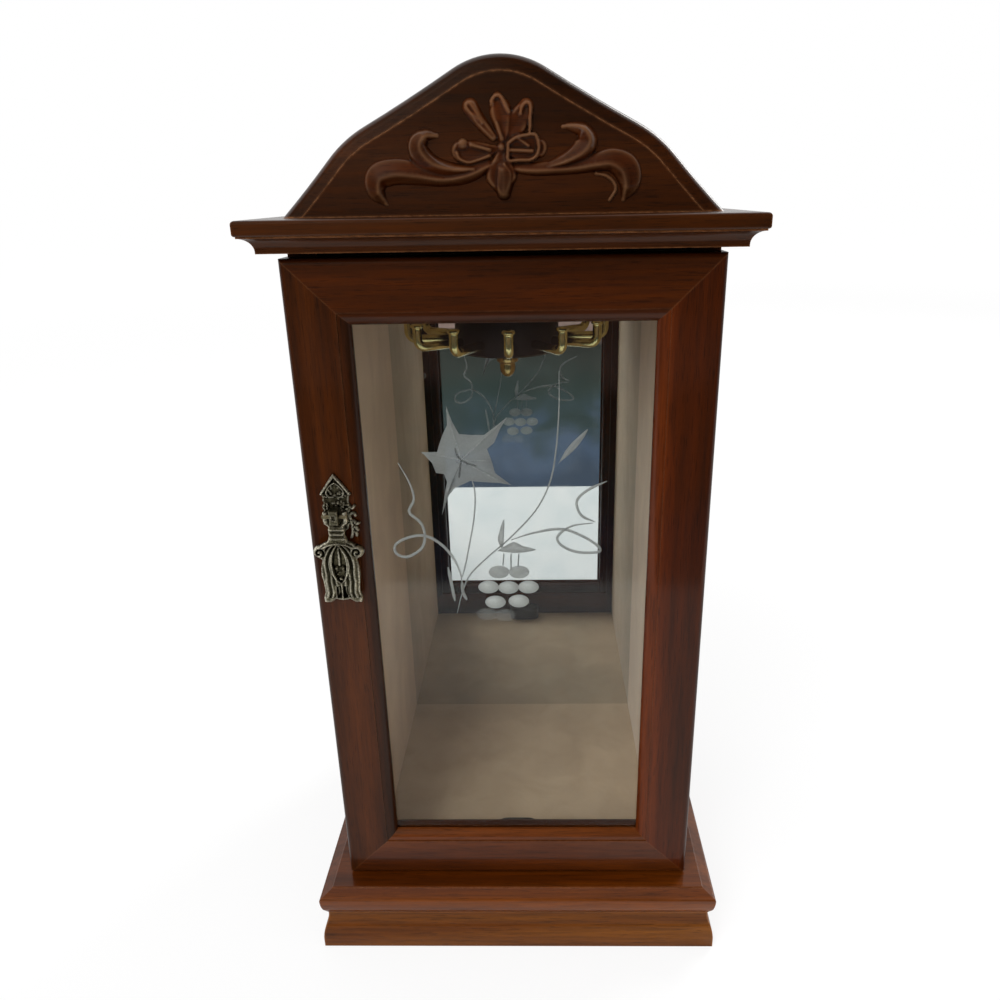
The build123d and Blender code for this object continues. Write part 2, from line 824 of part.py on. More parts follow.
def pediment_carving():
    left = [
        (-3, -5), (-10, -6), (-16, -7), (-21, -6), (-25, -4), (-26, 0), (-24, 2), (-21.5, 2), (-22.5, 5),
        (-27, 6.3), (-31.5, 4.5), (-33.5, 1), (-31.5, -3), (-38, -4), (-45, -5), (-50, -10.5),
        (-48, -16), (-42.5, -19), (-43.5, -14.5), (-39.5, -12), (-34, -10.5), (-27, -10.3),
        (-20, -11.5), (-13, -11), (-6, -9),
    ]
    right = [
        (3, -5), (6, -8), (10, -8.5), (18, -8.5), (26, -8.5), (34, -9), (40, -10), (45, -13), (46, -19),
        (49.5, -15), (50, -9), (45, -3), (39, -1.5), (35, 0), (33, 4.5), (28, 7.3), (24, 7.2), (23, 5),
        (26.5, 3), (27, -1), (24, -3.5), (18, -5.5), (11, -5.5),
    ]
    boss = slab(Circle(boss_diameter / 2), 0, boss_rise)
    branches = [slab(outline(points, carving_span), 0, branch_rise) for points in (left, right)]
    relief = branches[0] + branches[1:] + [petal(angle) for angle in petal_angles] + [boss]
    place = Plane((0, pediment_front, crown_top + carving_height), x_dir=(1, 0, 0), z_dir=(0, -1, 0))
    return place * relief


parts = {
    "base_board": base_board(),
    "plinth_front": Rot(0, 0, 180) * plinth_strip(box_width, box_depth),
    "plinth_back": plinth_strip(box_width, box_depth),
    "plinth_left": Rot(0, 0, 90) * plinth_strip(box_depth, box_width),
    "plinth_right": Rot(0, 0, -90) * plinth_strip(box_depth, box_width),
    "plinth_glue_blocks": glue_blocks(),
    "bottom_panel": bottom_sheet(felt_thickness, felt_thickness + bottom_panel_thickness),
    "bottom_felt": bottom_sheet(0, felt_thickness),
    "case_side_left": case_side(-1),
    "case_side_right": case_side(1),
    "case_back": case_back(),
    "lining_left": lining_wall(-1),
    "lining_right": lining_wall(1),
    "lining_floor": lining_floor(),
    "lining_ceiling": lining_ceiling(),
    "mirror": mirror_pane(),
    "crown_board": crown_board(),
    "pediment_board": pediment_board(),
    "pediment_carving": pediment_carving(),
    "catch_housing": catch_housing(),
    "catch_magnet": catch_magnet(),
    "carousel_axle": carousel_axle(),
    "carousel_spacer": carousel_spacer(),
    "carousel_finial": carousel_finial(),
    "hinge_case_leaves": hinge_leaves(1),
    "door_stile_left": door_stile_left(),
    "door_stile_right": door_stile_right(),
    "door_rail_top": door_rail_top(),
    "door_rail_bottom": door_rail_bottom(),
    "door_glass": door_glass(),
    "glazing_beads_side": glazing_beads_side(),
    "glazing_beads_end": glazing_beads_end(),
    "hinge_door_leaves": hinge_leaves(-1),
    "hinge_pins": hinge_pins(),
    "door_strike": door_strike(),
    "pull_backplate": pull_backplate(),
    "pull_post": pull_post(),
    "pull_pin": pull_pin(),
    "pull_pendant": pull_pendant(),
    "carousel_disc": carousel_disc(),
}
for index in range(hook_count):
    parts[f"carousel_hook_{index + 1:02d}"] = carousel_hook(index)

os.makedirs("parts", exist_ok=True)
for name, shape in parts.items():
    solids = shape if isinstance(shape, list) else shape.solids()
    export_step(Compound(label=name, children=[solid.solid() for solid in solids]), f"parts/{name}.step")
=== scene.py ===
import bpy
import math
import numpy as np
from mathutils import Matrix, Vector


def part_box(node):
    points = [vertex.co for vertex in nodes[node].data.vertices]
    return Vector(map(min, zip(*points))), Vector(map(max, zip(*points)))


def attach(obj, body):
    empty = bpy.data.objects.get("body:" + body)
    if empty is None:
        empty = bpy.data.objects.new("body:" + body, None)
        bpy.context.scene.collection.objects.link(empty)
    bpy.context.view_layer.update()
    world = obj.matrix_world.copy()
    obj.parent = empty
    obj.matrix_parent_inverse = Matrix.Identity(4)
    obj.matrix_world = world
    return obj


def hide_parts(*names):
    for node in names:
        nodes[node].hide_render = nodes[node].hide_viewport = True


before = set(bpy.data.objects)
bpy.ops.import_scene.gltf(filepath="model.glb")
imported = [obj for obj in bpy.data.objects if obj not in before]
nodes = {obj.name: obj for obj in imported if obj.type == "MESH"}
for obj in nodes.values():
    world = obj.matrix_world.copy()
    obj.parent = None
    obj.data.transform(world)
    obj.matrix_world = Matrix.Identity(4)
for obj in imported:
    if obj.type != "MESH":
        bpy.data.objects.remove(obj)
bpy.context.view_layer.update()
MM = 0.001

# Camera, as fitted to the photograph's edges and corners. Pixels are those of the 1000 by 1000 picture.
IMAGE = 1000.0
SENSOR = 36.0
FOCAL_PIXELS = 795.877
PRINCIPAL = (524.283, 494.945)
CAMERA_AT = Vector((0.011905, -0.33918, 0.315808))
PITCH, YAW, ROLL = 20.779, -1.214, -0.976


def placed(name, data):
    """A new object with the given data, in the scene."""
    obj = bpy.data.objects.new(name, data)
    bpy.context.collection.objects.link(obj)
    return obj


def camera_axes():
    a, b, c = (math.radians(v) for v in (PITCH, YAW, ROLL))
    forward = Vector((math.sin(b) * math.cos(a), math.cos(b) * math.cos(a), -math.sin(a)))
    right = forward.cross(Vector((0, 0, 1))).normalized()
    up = right.cross(forward)
    return (math.cos(c) * right + math.sin(c) * up, -math.sin(c) * right + math.cos(c) * up, forward)


def make_camera():
    right, up, forward = camera_axes()
    data = bpy.data.cameras.new("camera")
    data.sensor_width = SENSOR
    data.lens = FOCAL_PIXELS * SENSOR / IMAGE
    data.shift_x = 0.5 - PRINCIPAL[0] / IMAGE
    data.shift_y = PRINCIPAL[1] / IMAGE - 0.5
    data.clip_start = 0.01
    cam = placed("camera", data)
    turn = Matrix((right, up, -forward)).transposed().to_4x4()
    cam.matrix_world = Matrix.Translation(CAMERA_AT) @ turn
    bpy.context.scene.camera = cam


def on_plane(pixel, y):
    """Where the sight line through a pixel of the photograph meets an upright plane."""
    right, up, forward = camera_axes()
    across = (pixel[0] - PRINCIPAL[0]) / FOCAL_PIXELS
    down = (pixel[1] - PRINCIPAL[1]) / FOCAL_PIXELS
    ray = forward + right * across - up * down
    return CAMERA_AT + ray * ((y - CAMERA_AT.y) / ray.y)


# Shader helpers


def rgb(r, g, b):
    """An sRGB colour, 0 to 255, as the linear one that a shader takes."""
    def line(v):
        v /= 255
        return v / 12.92 if v <= 0.04045 else ((v + 0.055) / 1.055) ** 2.4
    return (line(r), line(g), line(b), 1.0)


class Net:
    """The node tree of a material or of the world, with short calls for its nodes."""

    def __init__(self, name, world=False):
        self.owner = (bpy.data.worlds if world else bpy.data.materials).new(name)
        self.owner.use_nodes = True
        self.tree = self.owner.node_tree
        self.tree.nodes.clear()
        self.out = self.add("OutputWorld" if world else "OutputMaterial")

    def add(self, kind, **values):
        node = self.tree.nodes.new("ShaderNode" + kind)
        for key, value in values.items():
            setattr(node, key, value)
        return node

    def put(self, socket, value):
        if isinstance(value, bpy.types.NodeSocket):
            self.tree.links.new(value, socket)
        else:
            socket.default_value = value

    def made(self, kind, **sockets):
        """The first output of a new node, with its sockets set or linked by name."""
        node = self.add(kind)
        for key, value in sockets.items():
            self.put(node.inputs[key.replace("_", " ")], value)
        return node.outputs[0]

    def join(self, kind, *values, **settings):
        """The first output of a new node whose inputs take the values in order."""
        node = self.add(kind, **settings)
        for socket, value in zip(node.inputs, values):
            self.put(socket, value)
        return node.outputs[0]

    def finish(self, surface):
        self.put(self.out.inputs["Surface"], surface)
        return self.owner

    def principled(self, colour, rough, **sockets):
        return self.finish(self.made("BsdfPrincipled", Base_Color=colour, Roughness=rough, **sockets))

    def coords(self, scale, offset=(0, 0, 0)):
        """Object coordinates in metres, scaled by one number or by one for each axis."""
        return self.made("Mapping", Vector=self.add("TexCoord").outputs["Object"], Location=offset,
                         Scale=scale if hasattr(scale, "__len__") else (scale,) * 3)

    def place(self, axis, offset=(0, 0, 0)):
        """One object coordinate, in metres."""
        split = self.add("SeparateXYZ")
        self.put(split.inputs[0], self.coords(1, offset))
        return split.outputs[axis]

    def noise(self, scale, detail, rough, warp=0.0, offset=(0, 0, 0)):
        return self.made("TexNoise", Vector=self.coords(scale, offset), Scale=1.0, Detail=detail,
                         Roughness=rough, Distortion=warp)

    def ramp(self, value, *stops):
        """A value turned into an sRGB colour, or into a linear grey where a stop gives a number."""
        node = self.add("ValToRGB")
        self.put(node.inputs["Fac"], value)
        marks = node.color_ramp.elements
        while len(marks) < len(stops):
            marks.new(0.5)
        for mark, (place, colour) in zip(marks, stops):
            mark.position = place
            mark.color = rgb(*colour) if hasattr(colour, "__len__") else (colour, colour, colour, 1)
        return node.outputs["Color"]

    def math(self, operation, a, b=0.0, clamp=False):
        return self.join("Math", a, b, operation=operation, use_clamp=clamp)

    def mix(self, fac, a, b, blend="MIX"):
        """Two colours mixed; a Mix node's colours are its inputs 6 and 7 and its output 2."""
        node = self.add("Mix", data_type="RGBA", blend_type=blend)
        self.put(node.inputs[0], fac)
        self.put(node.inputs[6], a)
        self.put(node.inputs[7], b)
        return node.outputs[2]

    def shaded(self, colour, value, *stops, amount=1.0):
        """A colour multiplied by the greys that a value gives."""
        return self.mix(amount, colour, self.ramp(value, *stops), "MULTIPLY")

    def bump(self, height, distance, strength=1.0):
        return self.made("Bump", Strength=strength, Distance=distance, Height=height)

    def edges(self, radius):
        """Above 0 on sharp outer edges and inner corners, 0 on flat faces."""
        bevel = self.add("Bevel", samples=6)
        self.put(bevel.inputs["Radius"], radius)
        dot = self.add("VectorMath", operation="DOT_PRODUCT")
        for socket, source in zip(dot.inputs, (bevel, self.add("NewGeometry"))):
            self.put(socket, source.outputs["Normal"])
        return self.math("SUBTRACT", 1.0, dot.outputs["Value"], clamp=True)

    def attribute(self, name):
        return self.add("Attribute", attribute_name=name).outputs["Fac"]


# Finishes. Colours of three numbers are sRGB, 0 to 255; those of four are linear.

BLACK, WHITE = (0, 0, 0, 1), (1, 1, 1, 1)

# Noise scales, per metre of the object
BROAD_GRAIN, FINE_GRAIN, PORES, WORN_PATCHES = 38, 620, 2600, 420
VENEER_GRAIN, VENEER_PORES = 60, 900
SPECKS, NAP, BRUSHED = 900, 2600, (45, 45, 30)
SMEARS, HAZE, FROST_GRAIN = (70, 70, 40), 60, 1500
TARNISH, SCRATCHES, CAST_SKIN = 160, (3200, 3200, 900), 1500
STRETCH = {"X": (0.05, 1, 1), "Y": (1, 0.05, 1), "Z": (1, 1, 0.05)}

WOOD_SHADES = ((32, 10, 1), (60, 23, 2), (88, 40, 8))
# Edge and crest colours stand for wear plus painted highlight; CARVING_SHADOW is painted shade in the carving's
# hollows
EDGE_WEAR_AND_HIGHLIGHT, CARVING_WEAR_AND_HIGHLIGHT, CARVING_SHADOW = rgb(148, 98, 62), rgb(150, 108, 74), rgb(14, 5, 1)
SEED_STEPS = (0.37, 0.71, 0.53)
NARROW_EDGE, WIDE_EDGE = 1.0 * MM, 1.5 * MM
WARM_GLOSS = (1.0, 0.72, 0.5, 1.0)
WALL_CLOTH = ((204, 176, 142), (222, 195, 160))
FLOOR_CLOTH = ((182, 159, 130), (198, 175, 145))
# Painted shadow: a dark strip along the ceiling cloth's front edge, for the gap under the crown
SHADOW_STRIP_WIDTH, GAP_SHADOW = 0.5 * MM, rgb(14, 10, 8)
GLASS_TINT = (0.965, 0.975, 0.97, 1)
FROST_LIT, FROST_GLOW = (0.3, 0.32, 0.31, 1), (0.37, 0.39, 0.39, 1)
# Cast pieces: dark patina in the hollows, and crests lightened for polish plus painted highlight
CAST_HOLLOW, CAST_CREST = rgb(20, 16, 10), rgb(228, 222, 198)


def grained(axis, scale):
    """A noise scale that draws the noise out along the grain."""
    return [v * scale for v in STRETCH[axis]]


def wood(name, axis, seed, stain, gloss, edge=NARROW_EDGE, edge_wear_and_highlight=1.0, carved=False):
    """Stained and lacquered hardwood whose grain runs along one axis. Its edges, or a carving's crests, are
    lighter for wear and painted highlight; a carving's hollows get painted shade.
    """
    net = Net(name)
    offset = [seed * step for step in SEED_STEPS]
    broad = net.noise(grained(axis, BROAD_GRAIN), 3, 0.5, 0.4, offset)
    fine = net.noise(grained(axis, FINE_GRAIN), 5, 0.6, 0.2, offset)
    pores = net.noise(grained(axis, PORES), 2, 0.5, 0.0, offset)
    dark, middle, light = ([c * t for c, t in zip(shade, stain)] for shade in WOOD_SHADES)
    colour = net.ramp(broad, (0.3, dark), (0.5, middle), (0.75, light))
    colour = net.shaded(colour, fine, (0.32, 0.55), (0.55, 1.0), (0.75, 1.25), amount=0.75)
    colour = net.shaded(colour, pores, (0.33, 0.35), (0.42, 1.0), amount=0.6)
    # A carving gets painted shade in its hollows, and wear with painted highlight on its crests
    if carved:
        worn_and_highlit = net.math("MULTIPLY", net.attribute("crest_wear_and_highlight"), 0.3)
        painted_shade = net.math("MULTIPLY", net.attribute("hollow_shade_and_patina"), 0.8)
        colour = net.mix(painted_shade, colour, CARVING_SHADOW)
    else:
        # Lighter edges, broken into patches: wear plus painted highlight
        patchy = net.ramp(net.noise(WORN_PATCHES, 3, 0.6, 0.0, offset), (0.36, 0.3), (0.62, 1.0))
        worn_and_highlit = net.math("MULTIPLY", net.math("MULTIPLY", net.edges(edge), patchy), edge_wear_and_highlight, clamp=True)
    colour = net.mix(worn_and_highlit, colour, CARVING_WEAR_AND_HIGHLIGHT if carved else EDGE_WEAR_AND_HIGHLIGHT)
    rough = net.ramp(fine, (0.3, 0.44), (0.7, 0.3))
    height = net.mix(0.5, net.ramp(pores, (0.3, 0.0), (0.45, 1.0)), fine)
    return net.principled(colour, rough, Normal=net.bump(height, 0.12 * MM, 0.3), Coat_Weight=gloss,
                          Coat_Roughness=0.1, Specular_IOR_Level=0.12, Specular_Tint=WARM_GLOSS)


def plain(name, colour, rough, bumps, low=0.8, high=1.12, **sockets):
    """A finish with fine mottling in its colour, roughness and surface."""
    net = Net(name)
    speck = net.noise(SPECKS, 4, 0.6)
    mixed = net.shaded(rgb(*colour), speck, (0.3, low), (0.7, high))
    gloss = net.ramp(speck, (0.3, min(1.0, rough * 1.15)), (0.7, rough * 0.85))
    return net.principled(mixed, gloss, Normal=net.bump(speck, bumps), **sockets)


def plywood(name, axis):
    """Pale veneer with a long open grain, oiled unevenly."""
    net = Net(name)
    broad = net.noise(grained(axis, VENEER_GRAIN), 4, 0.6, 0.8)
    fine = net.noise(grained(axis, VENEER_PORES), 4, 0.6)
    colour = net.ramp(broad, (0.3, (96, 62, 34)), (0.5, (122, 84, 50)), (0.72, (146, 104, 66)))
    colour = net.shaded(colour, fine, (0.32, 0.62), (0.6, 1.05), amount=0.7)
    return net.principled(colour, 0.6, Normal=net.bump(fine, 0.15 * MM, 0.6))


def velvet(name, low, high, front=None):
    """Short-pile fabric: soft sheen, brushed patches and a fine nap, and a painted shadow strip along its front
    edge.
    """
    net = Net(name)
    nap = net.noise(NAP, 3, 0.7)
    brushed = net.noise(BRUSHED, 3, 0.5, 0.6)
    colour = net.shaded(net.ramp(brushed, (0.3, low), (0.7, high)), nap, (0.3, 0.86), (0.7, 1.1))
    if front is not None:
        # Painted shadow strip along the cloth's front edge
        in_painted_shadow = net.math("LESS_THAN", net.place("Y"), front + SHADOW_STRIP_WIDTH)
        colour = net.mix(in_painted_shadow, colour, GAP_SHADOW)
    return net.principled(colour, 0.95, Normal=net.bump(nap, 0.2 * MM, 0.6),
                          Sheen_Weight=0.3, Sheen_Roughness=0.4)


def clear_glass(name):
    """Thin pane: clear for light and view, with a surface gloss that grows towards grazing angles."""
    net = Net(name)
    facing = net.add("LayerWeight")
    facing.inputs["Blend"].default_value = 0.5
    steep = net.math("POWER", facing.outputs["Facing"], 5.0)
    amount = net.math("ADD", net.math("MULTIPLY", steep, 0.8), 0.02, clamp=True)
    smear = net.noise(SMEARS, 3, 0.6)
    through = net.made("BsdfTransparent", Color=GLASS_TINT)
    gloss = net.made("BsdfGlossy", Roughness=net.ramp(smear, (0.35, 0.04), (0.7, 0.12)))
    return net.finish(net.join("MixShader", amount, through, gloss))


def frosted(name):
    """Etched lines: a thin grey scatter over clear glass, as strong and light as the mesh's own values."""
    net = Net(name)
    specks = net.noise(FROST_GRAIN, 3, 0.7)
    strength = net.math("MULTIPLY", net.attribute("frost"), net.ramp(specks, (0.35, 0.9), (0.65, 1.0)))
    shade = net.attribute("shade")
    lit = net.made("BsdfDiffuse", Color=net.mix(shade, BLACK, FROST_LIT))
    glowing = net.made("BsdfTranslucent", Color=net.mix(shade, BLACK, FROST_GLOW))
    frost = net.join("AddShader", lit, glowing)
    return net.finish(net.join("MixShader", strength, net.made("BsdfTransparent"), frost))


def silvered(name):
    """A mirror's silver under a faint haze."""
    net = Net(name)
    haze = net.noise(HAZE, 3, 0.5)
    colour = net.ramp(haze, (0.3, (216, 222, 224)), (0.7, (228, 230, 230)))
    return net.principled(colour, net.ramp(haze, (0.4, 0.01), (0.8, 0.03)), Metallic=1.0)


def metal(name, colour, rough, sculpted=False):
    """Worn metal with cloudy tarnish; a sculpted piece is dark with patina in its hollows and bright on its
    crests, from polish and painted highlight.
    """
    net = Net(name)
    cloud = net.noise(TARNISH, 4, 0.6)
    tint = net.shaded(rgb(*colour), cloud, (0.3, 0.72), (0.7, 1.1))
    if sculpted:
        tint = net.mix(net.attribute("hollow_shade_and_patina"), tint, CAST_HOLLOW)
        # Crests lightened for polish plus painted highlight
        tint = net.mix(net.attribute("crest_wear_and_highlight"), tint, CAST_CREST)
        cast = net.noise(CAST_SKIN, 3, 0.6, 0.6)
        tint = net.shaded(tint, cast, (0.36, 0.38), (0.62, 1.15))
        normal = net.bump(cast, 0.2 * MM)
    else:
        normal = net.bump(net.noise(SCRATCHES, 3, 0.6), 0.04 * MM)
    gloss = net.ramp(cloud, (0.3, rough * 1.5), (0.7, rough))
    return net.principled(tint, gloss, Metallic=1.0, Normal=normal)


def dress(material, *names):
    for name in names:
        slots = nodes[name].data.materials
        slots.clear()
        slots.append(material)


SATIN, POLISHED, BRIGHT, BRIGHTEST = 0.26, 0.4, 0.5, 0.6
# Strength of the lighter edges, which stand for wear plus painted highlight
USUAL_WEAR_AND_HIGHLIGHT, DOOR_WEAR_AND_HIGHLIGHT = 1.2, 0.45
STAIN, BASE_STAIN, PLINTH_STAIN = (1, 1, 1), (1.38, 1.55, 1.7), (1.5, 1.95, 2.6)
USUAL, PLINTH = (STAIN, SATIN, USUAL_WEAR_AND_HIGHLIGHT), (PLINTH_STAIN, SATIN, USUAL_WEAR_AND_HIGHLIGHT)
# A wooden node's grain axis, stain tint, gloss, and the strength of the wear with painted highlight on its edges;
# its place here is its seed
WOODEN = {
    "base_board": ("X", BASE_STAIN, POLISHED, 2.0),
    "plinth_front": ("X", PLINTH_STAIN, SATIN, 1.8),
    "plinth_back": ("X", *PLINTH),
    "plinth_left": ("Y", *PLINTH),
    "plinth_right": ("Y", *PLINTH),
    "case_side_left": ("Z", *USUAL),
    "case_side_right": ("Z", *USUAL),
    "crown_board": ("X", (0.82, 0.85, 0.8), SATIN, 1.7),
    "pediment_board": ("X", (0.72, 0.7, 0.6), BRIGHT, 2.0),
    "door_stile_left": ("Z", (0.86, 0.86, 0.8), SATIN, DOOR_WEAR_AND_HIGHLIGHT),
    "door_stile_right": ("Z", (1.14, 1.04, 0.9), SATIN, DOOR_WEAR_AND_HIGHLIGHT),
    "door_rail_top": ("X", STAIN, SATIN, DOOR_WEAR_AND_HIGHLIGHT),
    "door_rail_bottom": ("X", (1.14, 1.2, 1.4), POLISHED, DOOR_WEAR_AND_HIGHLIGHT),
    "glazing_beads_side": ("Z", *USUAL),
    "glazing_beads_end": ("X", *USUAL),
}


def dress_all():
    for seed, (name, (axis, stain, gloss, edge_wear_and_highlight)) in enumerate(WOODEN.items()):
        # The pediment gets a wider band of wear and painted highlight along its moulding
        edge = WIDE_EDGE if name == "pediment_board" else NARROW_EDGE
        dress(wood("wood_" + name, axis, seed, stain, gloss, edge, edge_wear_and_highlight), name)
    dress(velvet("taupe_velvet", *WALL_CLOTH), "lining_left", "lining_right")
    # The ceiling cloth gets a painted shadow strip along its front edge
    dress(velvet("taupe_velvet_ceiling", *WALL_CLOTH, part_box("lining_ceiling")[0].y), "lining_ceiling")
    dress(velvet("taupe_velvet_floor", *FLOOR_CLOTH), "lining_floor")
    dress(silvered("silvered_mirror"), "mirror")
    dress(clear_glass("clear_glass"), "door_glass")
    dress(metal("zinc_steel", (170, 172, 174), 0.3), "door_strike", "carousel_axle")
    dress(metal("hinge_brass", (178, 150, 84), 0.3), "hinge_case_leaves", "hinge_door_leaves", "hinge_pins")
    dress(metal("antique_pewter", (132, 122, 96), 0.36), "pull_pin")
    lacquer = plain("black_lacquer", (15, 10, 10), 0.42, 0.01 * MM, 0.92, 1.08, Specular_IOR_Level=0.25)
    dress(lacquer, "carousel_disc", "carousel_spacer")
    dress(plain("black_plastic", (34, 28, 22), 0.45, 0.04 * MM), "catch_housing")
    dress(plain("magnet", (44, 44, 46), 0.5, 0.05 * MM), "catch_magnet")
    dress(plain("green_felt", (38, 66, 46), 0.95, 0.3 * MM), "bottom_felt")
    dress(plywood("plywood_upright", "Z"), "case_back")
    dress(plywood("plywood_level", "X"), "bottom_panel")
    dress(plain("beech", (188, 150, 110), 0.6, 0.1 * MM), "plinth_glue_blocks")


# Mesh helpers. Outlines and sections are in millimetres.


def box_mm(name):
    """The two corners of a CAD node's box, in millimetres."""
    return [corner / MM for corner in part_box(name)]


def add_piece(name, points, faces, material, body, slot, replaced=None, values=None):
    """A smooth-shaded mesh from points in metres, with named values for each point."""
    mesh = bpy.data.meshes.new(name)
    mesh.from_pydata([tuple(p) for p in points], [], faces)
    mesh.polygons.foreach_set("use_smooth", [True] * len(mesh.polygons))
    for key, numbers in (values or {}).items():
        layer = mesh.attributes.new(key, "FLOAT", "POINT")
        layer.data.foreach_set("value", np.asarray(numbers, dtype=np.float32))
    mesh.materials.append(material)
    piece = placed(name, mesh)
    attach(piece, body)
    if replaced:
        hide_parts(replaced)


def curve(points, count):
    """Rows along a smooth curve through the given rows, which may carry a width too."""
    rows = np.asarray(points, dtype=float)
    padded = np.vstack([2 * rows[0] - rows[1], rows, 2 * rows[-1] - rows[-2]])
    at = np.linspace(0, len(rows) - 1, count)
    start = np.minimum(at.astype(int), len(rows) - 2)
    t = (at - start)[:, None]
    a, b, c, d = (padded[start + shift] for shift in range(4))
    return 0.5 * (2 * b + (c - a) * t + (2 * a - 5 * b + 4 * c - d) * t ** 2
                  + (3 * b - a - 3 * c + d) * t ** 3)


def rings_mesh(rings):
    """Faces and points of a closed skin over rings of equal count, with a fan at each end."""
    count = len(rings[0])
    points = [p for ring in rings for p in ring]
    faces = []
    for r in range(len(rings) - 1):
        for k in range(count):
            low, high = r * count, (r + 1) * count
            faces.append((low + k, low + (k + 1) % count, high + (k + 1) % count, high + k))
    for base, order in ((0, -1), ((len(rings) - 1) * count, 1)):
        faces.append(tuple(base + k for k in range(count))[::order])
    return points, faces


def lathe(profile, centre, sides, knurl):
    """Rings of a turned piece; knurl gives two heights and the depth of the flutes between them."""
    low, high, depth = knurl
    rings = []
    for radius, height in profile:
        flute = depth if low < height < high else 0.0
        reaches = [radius - flute * (k % 2) for k in range(sides)]
        rings.append([Vector((centre[0] + reach * math.cos(2 * math.pi * k / sides),
                              centre[1] + reach * math.sin(2 * math.pi * k / sides), height)) * MM
                      for k, reach in enumerate(reaches)])
    return rings


def blurred(field, times):
    """A field with each value averaged with its four neighbours, again and again."""
    for _ in range(times):
        padded = np.pad(field, 1, mode="edge")
        field = (padded[:-2, 1:-1] + padded[2:, 1:-1] + padded[1:-1, :-2] + padded[1:-1, 2:]
                 + 4 * field) / 8
    return field


def any_of_four(grid):
    """True between four neighbours of a grid where any of them is true."""
    return grid[:-1, :-1] | grid[1:, :-1] | grid[:-1, 1:] | grid[1:, 1:]


EMPTY = -10.0  # a relief's height where nothing stands
CREST_HEIGHT, HOLLOW_DEPTH, DARKEST = 0.3, 0.28, 0.95
THINNEST = 0.05


